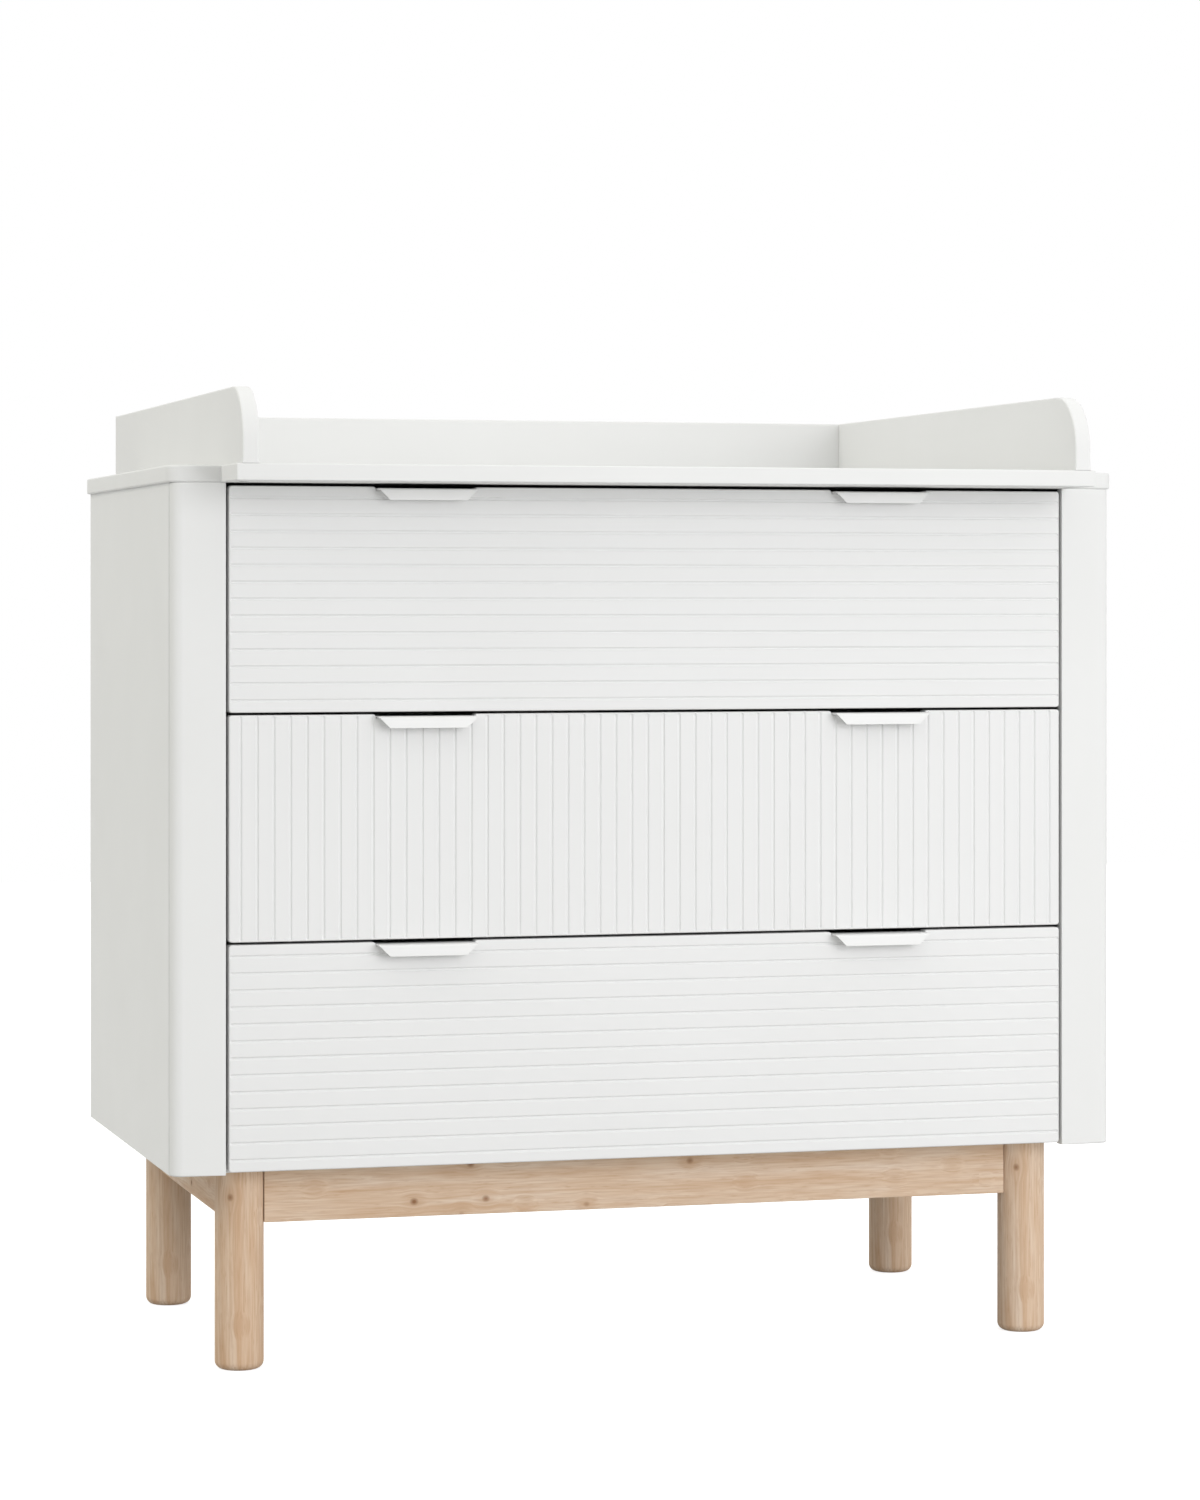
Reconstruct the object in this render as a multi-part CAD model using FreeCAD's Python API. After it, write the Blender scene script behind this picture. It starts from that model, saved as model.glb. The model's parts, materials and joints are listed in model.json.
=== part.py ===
import FreeCAD, Part
import os

# A nursery chest of three drawers on a beech base, with a three-sided changing top.
# Millimetres. X runs left to right, Y from front to back, Z up from the floor.
# The origin lies on the floor, under the middle of the whole outline.
# Left and right are as seen by a person who stands in front of the chest.

# Drawer fronts
front_width = 864.0
front_height = 221.0
front_thickness = 16.0
front_corner_radius = 3.0
front_edge_radius = 1.5
front_gap = 2.55
front_side_gap = 3.0
front_top_gap = 3.1
front_bottom_gap = 2.5

# Grooves milled in the fronts
groove_pitch = 16.5
groove_width = 3.4
groove_depth = 1.5
groove_margin = 11.0
groove_stop = 0.8

# Carcass boards
cabinet_depth = 506.5
side_thickness = 16.5
bottom_thickness = 16.5
bottom_setback = 3.0
top_thickness = 16.5
top_overhang = 4.0
top_corner_radius = 15.0
top_edge_radius = 2.0
stile_width = 53.3
stile_thickness = 16.0
stile_round_radius = 12.0
stile_edge_radius = 1.5
back_thickness = 4.0
back_inset = 22.0
back_groove_depth = 6.0
board_slack = 0.2

# Beech base
leg_height = 197.3
leg_radius = 24.15
leg_foot_radius = 8.0
leg_side_inset = 76.9
leg_front_inset = 55.4
leg_rear_inset = 48.3
apron_height = 53.7
apron_thickness = 21.5
apron_gap = 0.3
apron_edge_radius = 1.0

# Changing top
rail_inset = 58.05
rail_height = 75.6
rail_thickness = 16.5
rail_nose_radius = 54.0
rail_edge_radius = 2.0
back_rail_thickness = 16.0
front_extension = 80.0
rear_extension = 165.0
extension_margin = 5.45
extension_edge_radius = 1.5

# Drawer boxes
box_rise = 26.0
box_headroom = 35.0
box_rear_clearance = 14.5
box_side_thickness = 12.0
box_back_thickness = 12.0
box_bottom_thickness = 5.0
box_bottom_rise = 10.0
box_bottom_groove = 5.0
housing_depth = 6.0
dado_depth = 4.0

# Telescopic runners: three nested channels of sheet steel
runner_thickness = 12.7
runner_height = 45.0
runner_sheet = 1.2
runner_clearance = 0.35
runner_rise = 45.0
runner_setback = 1.0
runner_rear_gap = 1.0
channel_step = 2.0
cabinet_channel_reach = 10.7
drawer_channel_backstep = 0.6
middle_channel_inset = 6.0

# Battens that carry the runners
batten_height = 50.0

# Edge pulls of bent sheet
pull_width = 100.0
pull_offset = 235.8
pull_sheet = 2.0
pull_projection = 15.0
pull_lip = 11.5
pull_lip_chamfer = 11.0
pull_flange = 22.0
pull_setdown = 1.8
pull_side_gap = 0.15
pull_inner_bend = 0.5

# Fasteners
dowel_radius = 4.0
dowel_length = 35.0
fit_gap = 0.1
cam_radius = 7.5
cam_depth = 12.5
cam_reach = 24.0
cam_bolt_radius = 3.5
cam_bolt_seat = 11.0
wood_screw_radius = 2.5
wood_screw_head_radius = 4.8
wood_screw_head_height = 2.6
wood_screw_tip = 4.0
small_screw_radius = 1.75
small_screw_head_radius = 3.4
small_screw_head_height = 1.6
small_screw_tip = 2.0
small_screw_bite = 9.0
leg_bolt_radius = 4.0
leg_bolt_head_radius = 9.0
leg_bolt_head_height = 3.0
leg_bolt_bite = 34.0
leg_insert_radius = 6.0
leg_insert_length = 22.0

# How deep each joint's fasteners reach into the second piece
batten_screw_bite = 8.2
rail_screw_bite = 28.5
apron_screw_bite = 28.5
rail_dowel_seat = 10.0
leg_dowel_seat = 13.0
panel_dowel_seat = 10.0

# Where fasteners stand, as shares of the length that they share out
stile_dowel_shares = (0.08, 0.5, 0.92)
stile_dowel_seat_share = 0.6
apron_dowel_shares = (0.25, 0.75)
apron_screw_shares = (0.2, 0.8)
extension_dowel_shares = (0.12, 0.37, 0.63, 0.88)
back_rail_dowel_shares = (0.3, 0.7)
panel_dowel_shares = (0.3, 0.7)
panel_cam_shares = (0.15, 0.85)
rail_screw_shares = (0.12, 0.88)
front_extension_screw_shares = (0.5,)
rear_extension_screw_shares = (0.25, 0.7)
back_rail_screw_shares = (0.2, 0.5, 0.8)
batten_screw_shares = (0.12, 0.88)
runner_screw_shares = (0.06, 0.94)
pull_screw_shares = (0.2, 0.8)
pull_screw_height_share = 0.4

# Names of the drawers from the lowest up
drawer_names = ("bottom_drawer", "middle_drawer", "top_drawer")
upright_drawer = "middle_drawer"

# Small values for cutting and for finding edges
overrun = 1.0
same_place = 0.001
full_turn = 360.0

# Places worked out from the sizes above
half_front = front_width / 2
half_opening = half_front + front_side_gap
half_cabinet = half_opening + stile_width
half_inside = half_cabinet - side_thickness
half_top = half_cabinet + top_overhang
rail_outer = half_top - rail_inset
rail_inner = rail_outer - rail_thickness
half_extension = rail_outer + extension_margin
changer_depth = front_extension + cabinet_depth + rear_extension
changer_front = -changer_depth / 2
changer_rear = changer_front + changer_depth
front_y = changer_front + front_extension
rear_y = front_y + cabinet_depth
stile_rear = front_y + stile_thickness
front_rear = front_y + front_thickness
front_pitch = front_height + front_gap
first_front = leg_height + front_bottom_gap
fronts_height = front_pitch * len(drawer_names) - front_gap
top_low = first_front + fronts_height + front_top_gap
top_high = top_low + top_thickness
rail_high = top_high + rail_height
bottom_high = leg_height + bottom_thickness
back_rear = rear_y - back_inset
back_front = back_rear - back_thickness
leg_x = half_cabinet - leg_side_inset
leg_front_y = front_y + leg_front_inset
leg_rear_y = rear_y - leg_rear_inset
box_half = half_opening - runner_thickness
box_inner = box_half - box_side_thickness
box_rear = back_front - box_rear_clearance
box_height = front_height - box_rise - box_headroom
runner_front = front_rear + runner_setback
runner_back = box_rear - runner_rear_gap

ALONG_X = FreeCAD.Vector(1, 0, 0)
ALONG_Y = FreeCAD.Vector(0, 1, 0)
ALONG_Z = FreeCAD.Vector(0, 0, 1)


def at(x, y, z):
    return FreeCAD.Vector(x, y, z)


def block(x_span, y_span, z_span):
    """A plain board between two places along each axis."""
    size = (x_span[1] - x_span[0], y_span[1] - y_span[0], z_span[1] - z_span[0])
    return Part.makeBox(*size, at(x_span[0], y_span[0], z_span[0]))


def prism(points, along):
    """A flat outline pushed along a vector."""
    return Part.Face(Part.makePolygon(points + points[:1])).extrude(along)


def turned(outline, start, direction):
    """A round piece: (radius, height) points turned about the line from start."""
    low = outline[0][1]
    high = outline[-1][1]
    points = [at(0, 0, low)] + [at(radius, 0, height) for radius, height in outline] + [at(0, 0, high)]
    face = Part.Face(Part.makePolygon(points + points[:1]))
    solid = face.revolve(at(0, 0, 0), ALONG_Z, full_turn)
    solid.Placement = FreeCAD.Placement(start, FreeCAD.Rotation(ALONG_Z, direction))
    return solid


def mirrored(shape):
    """The same piece on the other side of the chest."""
    return shape.mirror(at(0, 0, 0), ALONG_X)


def both_sides(shapes):
    return shapes + [mirrored(shape) for shape in shapes]


def near(value, place):
    return abs(value - place) < same_place


def lies_at(box, axis, place):
    """True where an edge's bounds lie in the plane axis = place."""
    low = getattr(box, axis + "Min")
    high = getattr(box, axis + "Max")
    return near(low, place) and near(high, place)


def rounded(shape, radius, chosen):
    """Round every edge whose bounds pass the test."""
    edges = [edge for edge in shape.Edges if chosen(edge.BoundBox)]
    return shape.makeFillet(radius, edges)


def shared_out(shares, low, high):
    return [low + (high - low) * share for share in shares]


def write(name, shapes):
    Part.makeCompound(shapes).exportStep("parts/" + name + ".step")


# Fasteners

def peg(radius, start, direction, length, grow=0):
    """A straight round peg; grow widens and lengthens it into its hole."""
    low = start - direction * grow
    return Part.makeCylinder(radius + grow, length + 2 * grow, low, direction)


def dowel(start, direction, grow=0):
    return peg(dowel_radius, start, direction, dowel_length, grow)


def wood_screw(start, direction, length, grow=0):
    """A countersunk screw whose flat head lies in the surface at start."""
    outline = [
        (wood_screw_head_radius + grow, 0),
        (wood_screw_radius + grow, wood_screw_head_height),
        (wood_screw_radius + grow, length - wood_screw_tip),
        (grow, length + grow),
    ]
    return turned(outline, start, direction)


def small_screw(start, direction, grow=0):
    """A flat pan-head screw that holds one sheet of steel to a board."""
    outline = [
        (small_screw_head_radius + grow, -small_screw_head_height - grow),
        (small_screw_head_radius + grow, 0),
        (small_screw_radius + grow, 0),
        (small_screw_radius + grow, runner_sheet + small_screw_bite - small_screw_tip),
        (grow, runner_sheet + small_screw_bite + grow),
    ]
    return turned(outline, start, direction)


def leg_bolt(start, grow=0):
    """A flat-headed bolt from the cabinet floor down into a leg."""
    outline = [
        (leg_bolt_head_radius, -leg_bolt_head_height),
        (leg_bolt_head_radius, 0),
        (leg_bolt_radius + grow, 0),
        (leg_bolt_radius + grow, bottom_thickness + leg_bolt_bite + grow),
    ]
    return turned(outline, start, -ALONG_Z)


def cam_lock(start, direction, bolt):
    """A round cam with a cross hole for its bolt."""
    return peg(cam_radius, start, direction, cam_depth).cut(bolt)


def cam_pocket(start, direction):
    """The flat-bottomed hole of a cam, open at the board's face."""
    mouth = start - direction * overrun
    return Part.makeCylinder(cam_radius + fit_gap, cam_depth + overrun + fit_gap, mouth, direction)


# Places of the fasteners on the right-hand side

def stile_dowel_starts():
    """Dowels that join the stile to the front edge of the side panel."""
    y = stile_rear - stile_thickness * stile_dowel_seat_share
    x = half_cabinet - side_thickness / 2
    return [at(x, y, z) for z in shared_out(stile_dowel_shares, leg_height, top_low)]


def floor_dowel_starts():
    """Dowels along X from the side panel into the bottom panel's edge."""
    x = half_inside - dowel_length + panel_dowel_seat
    z = leg_height + bottom_thickness / 2
    return [at(x, y, z) for y in shared_out(panel_dowel_shares, stile_rear, rear_y)]


def ceiling_dowel_starts():
    """Dowels along Z from the side panel's upper edge into the top panel."""
    x = half_cabinet - side_thickness / 2
    z = top_low - dowel_length + panel_dowel_seat
    return [at(x, y, z) for y in shared_out(panel_dowel_shares, stile_rear, rear_y)]


def extension_dowel_starts(seam):
    """Dowels along Y across the seam of an extension board, both sides."""
    y = seam - dowel_length / 2
    z = top_low + top_thickness / 2
    return [at(x, y, z) for x in shared_out(extension_dowel_shares, -half_extension, half_extension)]


def back_rail_dowel_starts():
    """Dowels along X from the side rail into the end of the back rail."""
    x = rail_inner - dowel_length + rail_dowel_seat
    y = changer_rear - back_rail_thickness / 2
    return [at(x, y, z) for z in shared_out(back_rail_dowel_shares, top_high, rail_high)]


def apron_levels():
    return shared_out(apron_dowel_shares, leg_height - apron_height, leg_height)


def cross_dowel_starts(leg_y):
    """Dowels along X from the right leg into the front or rear apron."""
    x = leg_x - leg_radius + leg_dowel_seat - dowel_length
    return [at(x, leg_y, z) for z in apron_levels()]


def side_front_dowel_starts():
    """Dowels along Y from the front leg into the side apron."""
    y = leg_front_y + leg_radius - leg_dowel_seat
    return [at(leg_x, y, z) for z in apron_levels()]


def side_rear_dowel_starts():
    """Dowels along Y from the side apron into the rear leg."""
    y = leg_rear_y - leg_radius + leg_dowel_seat - dowel_length
    return [at(leg_x, y, z) for z in apron_levels()]


def dowels_at(starts, direction, grow=0):
    return [dowel(start, direction, grow) for start in starts]


def floor_cams():
    """Each cam's mouth under the bottom panel, with its bolt's start and direction."""
    x = half_inside - cam_reach
    z = leg_height + bottom_thickness / 2
    places = shared_out(panel_cam_shares, stile_rear, rear_y)
    return [(at(x, y, leg_height), ALONG_Z, at(x, y, z), ALONG_X) for y in places]


def ceiling_cams():
    """Each cam's mouth inside the side panel, with its bolt's start and direction."""
    x = half_cabinet - side_thickness / 2
    z = top_low - cam_reach
    places = shared_out(panel_cam_shares, stile_rear, rear_y)
    return [(at(half_inside, y, z), ALONG_X, at(x, y, z), ALONG_Z) for y in places]


def cam_bolt(cam, grow=0):
    return peg(cam_bolt_radius, cam[2], cam[3], cam_reach + cam_bolt_seat, grow)


def rail_screw_starts():
    """Screws up through the top panel into the side rail."""
    x = (rail_outer + rail_inner) / 2
    return [at(x, y, top_low) for y in shared_out(rail_screw_shares, front_y, rear_y)]


def front_extension_screw_starts():
    x = (rail_outer + rail_inner) / 2
    places = shared_out(front_extension_screw_shares, changer_front, front_y)
    return [at(x, y, top_low) for y in places]


def rear_extension_screw_starts():
    x = (rail_outer + rail_inner) / 2
    places = shared_out(rear_extension_screw_shares, rear_y, changer_rear)
    return [at(x, y, top_low) for y in places]


def back_rail_screw_starts():
    """Screws up through the rear board into the back rail, both sides."""
    y = changer_rear - back_rail_thickness / 2
    return [at(x, y, top_low) for x in shared_out(back_rail_screw_shares, -rail_inner, rail_inner)]


def top_screws(starts, grow=0):
    length = top_thickness + rail_screw_bite
    return [wood_screw(start, ALONG_Z, length, grow) for start in starts]


def cross_apron_screw_starts(leg_y):
    places = shared_out(apron_screw_shares, -leg_x, leg_x)
    return [at(x, leg_y, bottom_high) for x in places]


def side_apron_screw_starts():
    places = shared_out(apron_screw_shares, leg_front_y, leg_rear_y)
    return [at(leg_x, y, bottom_high) for y in places]


def floor_screws(starts, grow=0):
    length = bottom_thickness + apron_screw_bite
    return [wood_screw(start, -ALONG_Z, length, grow) for start in starts]


def batten_screw_starts():
    places = shared_out(batten_screw_shares, stile_rear, box_rear)
    return [at(half_opening, y, z) for z in runner_levels() for y in places]


def batten_screws(grow=0):
    length = half_inside - half_opening + batten_screw_bite
    return [wood_screw(start, ALONG_X, length, grow) for start in batten_screw_starts()]


def leg_places():
    return [at(leg_x, leg_front_y, bottom_high), at(leg_x, leg_rear_y, bottom_high)]


def all_dowels():
    """The dowels of the whole carcass, base and changing top."""
    upright = ceiling_dowel_starts()
    crosswise = floor_dowel_starts() + back_rail_dowel_starts()
    crosswise += cross_dowel_starts(leg_front_y) + cross_dowel_starts(leg_rear_y)
    endwise = stile_dowel_starts() + side_front_dowel_starts() + side_rear_dowel_starts()
    pairs = dowels_at(upright, ALONG_Z) + dowels_at(crosswise, ALONG_X) + dowels_at(endwise, ALONG_Y)
    seams = extension_dowel_starts(front_y) + extension_dowel_starts(rear_y)
    return both_sides(pairs) + dowels_at(seams, ALONG_Y)


def all_wood_screws():
    """The countersunk screws of the changing top, the battens and the base."""
    changer = rail_screw_starts() + front_extension_screw_starts() + rear_extension_screw_starts()
    pairs = top_screws(changer) + batten_screws() + floor_screws(side_apron_screw_starts())
    middle = top_screws(back_rail_screw_starts())
    middle += floor_screws(cross_apron_screw_starts(leg_front_y) + cross_apron_screw_starts(leg_rear_y))
    return both_sides(pairs) + middle


# Carcass

def side_panel():
    """The right side panel, with the groove for the back and its fastener holes."""
    panel = block((half_inside, half_cabinet), (stile_rear, rear_y), (leg_height, top_low))
    groove = block(
        (half_inside - overrun, half_inside + back_groove_depth),
        (back_front - board_slack, back_rear + board_slack),
        (leg_height - overrun, top_low + overrun),
    )
    holes = dowels_at(stile_dowel_starts(), ALONG_Y, fit_gap)
    holes += dowels_at(floor_dowel_starts(), ALONG_X, fit_gap)
    holes += dowels_at(ceiling_dowel_starts(), ALONG_Z, fit_gap)
    holes += [cam_pocket(cam[0], cam[1]) for cam in ceiling_cams()]
    holes += [cam_bolt(cam, fit_gap) for cam in ceiling_cams() + floor_cams()]
    holes += batten_screws(fit_gap)
    return panel.cut([groove] + holes)


def front_stile():
    """The right stile, a board set against the side panel's front edge."""
    stile = block((half_opening, half_cabinet), (front_y, stile_rear), (leg_height, top_low))

    def outer_edge(box):
        return lies_at(box, "X", half_cabinet) and lies_at(box, "Y", front_y)

    def face_edge(box):
        return lies_at(box, "Y", front_y) and near(box.XMin, half_opening)

    stile = rounded(stile, stile_round_radius, outer_edge)
    stile = rounded(stile, stile_edge_radius, face_edge)
    return stile.cut(dowels_at(stile_dowel_starts(), ALONG_Y, fit_gap))


def top_panel():
    """The top of the cabinet, between the two extension boards of the changing top."""
    panel = block((-half_top, half_top), (front_y, rear_y), (top_low, top_high))

    def front_corner(box):
        return lies_at(box, "Y", front_y) and near(box.XMin, box.XMax)

    def rim(box):
        return near(box.ZMin, box.ZMax) and not lies_at(box, "Y", rear_y)

    panel = rounded(panel, top_corner_radius, front_corner)
    panel = rounded(panel, top_edge_radius, rim)
    groove = block(
        (-half_inside - back_groove_depth, half_inside + back_groove_depth),
        (back_front - board_slack, back_rear + board_slack),
        (top_low - overrun, top_low + back_groove_depth),
    )
    sides = dowels_at(ceiling_dowel_starts(), ALONG_Z, fit_gap)
    sides += [cam_bolt(cam, fit_gap) for cam in ceiling_cams()]
    sides += top_screws(rail_screw_starts(), fit_gap)
    seams = extension_dowel_starts(front_y) + extension_dowel_starts(rear_y)
    return panel.cut([groove] + both_sides(sides) + dowels_at(seams, ALONG_Y, fit_gap))


def bottom_panel():
    """The cabinet floor between the side panels."""
    front = front_rear + bottom_setback
    panel = block((-half_inside, half_inside), (front, rear_y), (leg_height, bottom_high))
    groove = block(
        (-half_inside - overrun, half_inside + overrun),
        (back_front - board_slack, back_rear + board_slack),
        (bottom_high - back_groove_depth, bottom_high + overrun),
    )
    sides = dowels_at(floor_dowel_starts(), ALONG_X, fit_gap)
    sides += [cam_pocket(cam[0], cam[1]) for cam in floor_cams()]
    sides += [cam_bolt(cam, fit_gap) for cam in floor_cams()]
    sides += floor_screws(side_apron_screw_starts(), fit_gap)
    sides += [leg_bolt(place, fit_gap) for place in leg_places()]
    middle = cross_apron_screw_starts(leg_front_y) + cross_apron_screw_starts(leg_rear_y)
    return panel.cut([groove] + both_sides(sides) + floor_screws(middle, fit_gap))


def back_panel():
    """A thin back that stands in grooves on all four sides."""
    half = half_inside + back_groove_depth - board_slack
    low = bottom_high - back_groove_depth
    high = top_low + back_groove_depth - board_slack
    return block((-half, half), (back_front, back_rear), (low, high))


def write_carcass():
    side = side_panel()
    stile = front_stile()
    write("side_panel_right", [side])
    write("side_panel_left", [mirrored(side)])
    write("front_stile_right", [stile])
    write("front_stile_left", [mirrored(stile)])
    write("top_panel", [top_panel()])
    write("bottom_panel", [bottom_panel()])
    write("back_panel", [back_panel()])


# Beech base

def leg(leg_y):
    """The right leg at this depth: a round post with a rounded foot."""
    post = Part.makeCylinder(leg_radius, leg_height, at(leg_x, leg_y, 0))
    post = rounded(post, leg_foot_radius, lambda box: lies_at(box, "Z", 0))
    holes = dowels_at(cross_dowel_starts(leg_y), ALONG_X, fit_gap)
    if leg_y < leg_rear_y:
        holes += dowels_at(side_front_dowel_starts(), ALONG_Y, fit_gap)
    else:
        holes += dowels_at(side_rear_dowel_starts(), ALONG_Y, fit_gap)
    place = at(leg_x, leg_y, bottom_high)
    insert = at(leg_x, leg_y, leg_height + overrun)
    holes.append(leg_bolt(place, fit_gap))
    holes.append(peg(leg_insert_radius + fit_gap, insert, -ALONG_Z, leg_insert_length + overrun))
    return post.cut(holes)


def leg_insert(leg_y):
    """A threaded sleeve sunk in the leg's upper end."""
    top = at(leg_x, leg_y, leg_height)
    sleeve = peg(leg_insert_radius, top, -ALONG_Z, leg_insert_length)
    return sleeve.cut(leg_bolt(at(leg_x, leg_y, bottom_high), fit_gap))


def leg_room(x, y):
    """The space that a leg takes, with the seam to its aprons."""
    return Part.makeCylinder(leg_radius + apron_gap, leg_height + overrun, at(x, y, 0))


def cross_apron(leg_y):
    """The front or rear rail of the base, scribed to the round legs."""
    y_span = (leg_y - apron_thickness / 2, leg_y + apron_thickness / 2)
    low = leg_height - apron_height
    board = block((-leg_x, leg_x), y_span, (low, leg_height))

    def lower_edge(box):
        return lies_at(box, "Z", low) and near(box.YMin, box.YMax)

    board = rounded(board, apron_edge_radius, lower_edge)
    cutters = [leg_room(leg_x, leg_y), leg_room(-leg_x, leg_y)]
    cutters += both_sides(dowels_at(cross_dowel_starts(leg_y), ALONG_X, fit_gap))
    cutters += floor_screws(cross_apron_screw_starts(leg_y), fit_gap)
    return board.cut(cutters)


def side_apron():
    """The right side rail of the base."""
    x_span = (leg_x - apron_thickness / 2, leg_x + apron_thickness / 2)
    low = leg_height - apron_height
    board = block(x_span, (leg_front_y, leg_rear_y), (low, leg_height))

    def lower_edge(box):
        return lies_at(box, "Z", low) and near(box.XMin, box.XMax)

    board = rounded(board, apron_edge_radius, lower_edge)
    cutters = [leg_room(leg_x, leg_front_y), leg_room(leg_x, leg_rear_y)]
    cutters += dowels_at(side_front_dowel_starts(), ALONG_Y, fit_gap)
    cutters += dowels_at(side_rear_dowel_starts(), ALONG_Y, fit_gap)
    cutters += floor_screws(side_apron_screw_starts(), fit_gap)
    return board.cut(cutters)


def write_base():
    front_leg = leg(leg_front_y)
    rear_leg = leg(leg_rear_y)
    apron = side_apron()
    write("leg_front_right", [front_leg])
    write("leg_front_left", [mirrored(front_leg)])
    write("leg_rear_right", [rear_leg])
    write("leg_rear_left", [mirrored(rear_leg)])
    write("apron_right", [apron])
    write("apron_left", [mirrored(apron)])
    write("apron_front", [cross_apron(leg_front_y)])
    write("apron_rear", [cross_apron(leg_rear_y)])


# Changing top

def side_rail():
    """The right rail, on edge along the whole depth, with a rounded front end."""
    rail = block((rail_inner, rail_outer), (changer_front, changer_rear), (top_high, rail_high))

    def nose(box):
        return lies_at(box, "Y", changer_front) and lies_at(box, "Z", rail_high)

    def rim(box):
        seated = lies_at(box, "Z", top_high) or lies_at(box, "Y", changer_rear)
        return near(box.XMin, box.XMax) and not seated

    rail = rounded(rail, rail_nose_radius, nose)
    rail = rounded(rail, rail_edge_radius, rim)
    starts = rail_screw_starts() + front_extension_screw_starts() + rear_extension_screw_starts()
    holes = top_screws(starts, fit_gap) + dowels_at(back_rail_dowel_starts(), ALONG_X, fit_gap)
    return rail.cut(holes)


def back_rail():
    """The rail across the rear, between the two side rails."""
    y_span = (changer_rear - back_rail_thickness, changer_rear)
    rail = block((-rail_inner, rail_inner), y_span, (top_high, rail_high))

    def upper_edge(box):
        return lies_at(box, "Z", rail_high) and near(box.YMin, box.YMax)

    rail = rounded(rail, rail_edge_radius, upper_edge)
    holes = both_sides(dowels_at(back_rail_dowel_starts(), ALONG_X, fit_gap))
    return rail.cut(holes + top_screws(back_rail_screw_starts(), fit_gap))


def extension_board(y_span, seam, screw_starts):
    """A board level with the top panel that carries the changing top past it."""
    board = block((-half_extension, half_extension), y_span, (top_low, top_high))
    board = rounded(board, extension_edge_radius, lambda box: not lies_at(box, "Y", seam))
    holes = dowels_at(extension_dowel_starts(seam), ALONG_Y, fit_gap)
    return board.cut(holes + top_screws(screw_starts, fit_gap))


def mirrored_points(points):
    return points + [at(-point.x, point.y, point.z) for point in points]


def write_changing_top():
    rail = side_rail()
    front_screws = mirrored_points(front_extension_screw_starts())
    rear_screws = mirrored_points(rear_extension_screw_starts()) + back_rail_screw_starts()
    write("changer_rail_right", [rail])
    write("changer_rail_left", [mirrored(rail)])
    write("changer_back_rail", [back_rail()])
    write("changer_front_board", [extension_board((changer_front, front_y), front_y, front_screws)])
    write("changer_rear_board", [extension_board((rear_y, changer_rear), rear_y, rear_screws)])


# Runners

def front_levels():
    return [first_front + front_pitch * place for place in range(len(drawer_names))]


def runner_levels():
    """The height of each runner's centre line."""
    return [level + box_rise + runner_rise for level in front_levels()]


def batten(level):
    """The right batten, which fills the space beside the stile's inner part."""
    z_span = (level - batten_height / 2, level + batten_height / 2)
    return block((half_opening, half_inside), (stile_rear, box_rear), z_span)


def channel(web, lips, half_height, y_span, level):
    """A channel of bent sheet: web and lips are places across the runner."""
    inward = 1 if lips > web else -1
    inner_web = web + inward * runner_sheet
    inner_half = half_height - runner_sheet
    outline = [
        (web, -half_height),
        (lips, -half_height),
        (lips, -inner_half),
        (inner_web, -inner_half),
        (inner_web, inner_half),
        (lips, inner_half),
        (lips, half_height),
        (web, half_height),
    ]
    points = [at(half_opening - across, y_span[0], level + up) for across, up in outline]
    return prism(points, ALONG_Y * (y_span[1] - y_span[0]))


def runner_screws_at(x, direction, level, grow=0):
    places = shared_out(runner_screw_shares, runner_front, runner_back)
    return [small_screw(at(x, y, level), direction, grow) for y in places]


def cabinet_channel(level):
    """The right outer channel, screwed to the batten."""
    shape = channel(0, cabinet_channel_reach, runner_height / 2, (runner_front, runner_back), level)
    return shape.cut(runner_screws_at(half_opening - runner_sheet, ALONG_X, level, fit_gap))


def middle_half():
    return runner_height / 2 - runner_sheet - runner_clearance


def middle_channel(level):
    """The right middle channel, which travels half as far as its drawer."""
    web = runner_sheet + channel_step
    y_span = (runner_front, runner_back - middle_channel_inset)
    return channel(web, cabinet_channel_reach, middle_half(), y_span, level)


def drawer_channel(level):
    """The right inner channel, screwed to the drawer's side."""
    half = middle_half() - runner_sheet - runner_clearance
    lips = runner_sheet + channel_step + runner_sheet + drawer_channel_backstep
    shape = channel(runner_thickness, lips, half, (runner_front, runner_back), level)
    return shape.cut(drawer_channel_screws(level, fit_gap))


def drawer_channel_screws(level, grow=0):
    return runner_screws_at(box_half + runner_sheet, -ALONG_X, level, grow)


def cabinet_channel_screws(grow=0):
    x = half_opening - runner_sheet
    screws = []
    for level in runner_levels():
        screws += runner_screws_at(x, ALONG_X, level, grow)
    return screws


def write_runner_supports():
    """Battens, outer channels and the screws that stay with the cabinet."""
    holes = batten_screws(fit_gap) + cabinet_channel_screws(fit_gap)
    battens = [batten(level).cut(holes) for level in runner_levels()]
    channels = [cabinet_channel(level) for level in runner_levels()]
    write("runner_battens", both_sides(battens))
    write("runner_cabinet_channels", both_sides(channels))
    write("runner_screws", both_sides(cabinet_channel_screws()))


# Drawer fronts

def groove_places(length):
    """Centre lines of the grooves across a length, evenly spaced about its middle."""
    steps = int((length - 2 * groove_margin) // groove_pitch)
    first = (length - steps * groove_pitch) / 2
    return [first + groove_pitch * step for step in range(steps + 1)]


def groove_cutter_radius():
    """Radius of the round cutter that leaves the groove's width and depth."""
    half = groove_width / 2
    return (half * half + groove_depth * groove_depth) / (2 * groove_depth)


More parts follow.
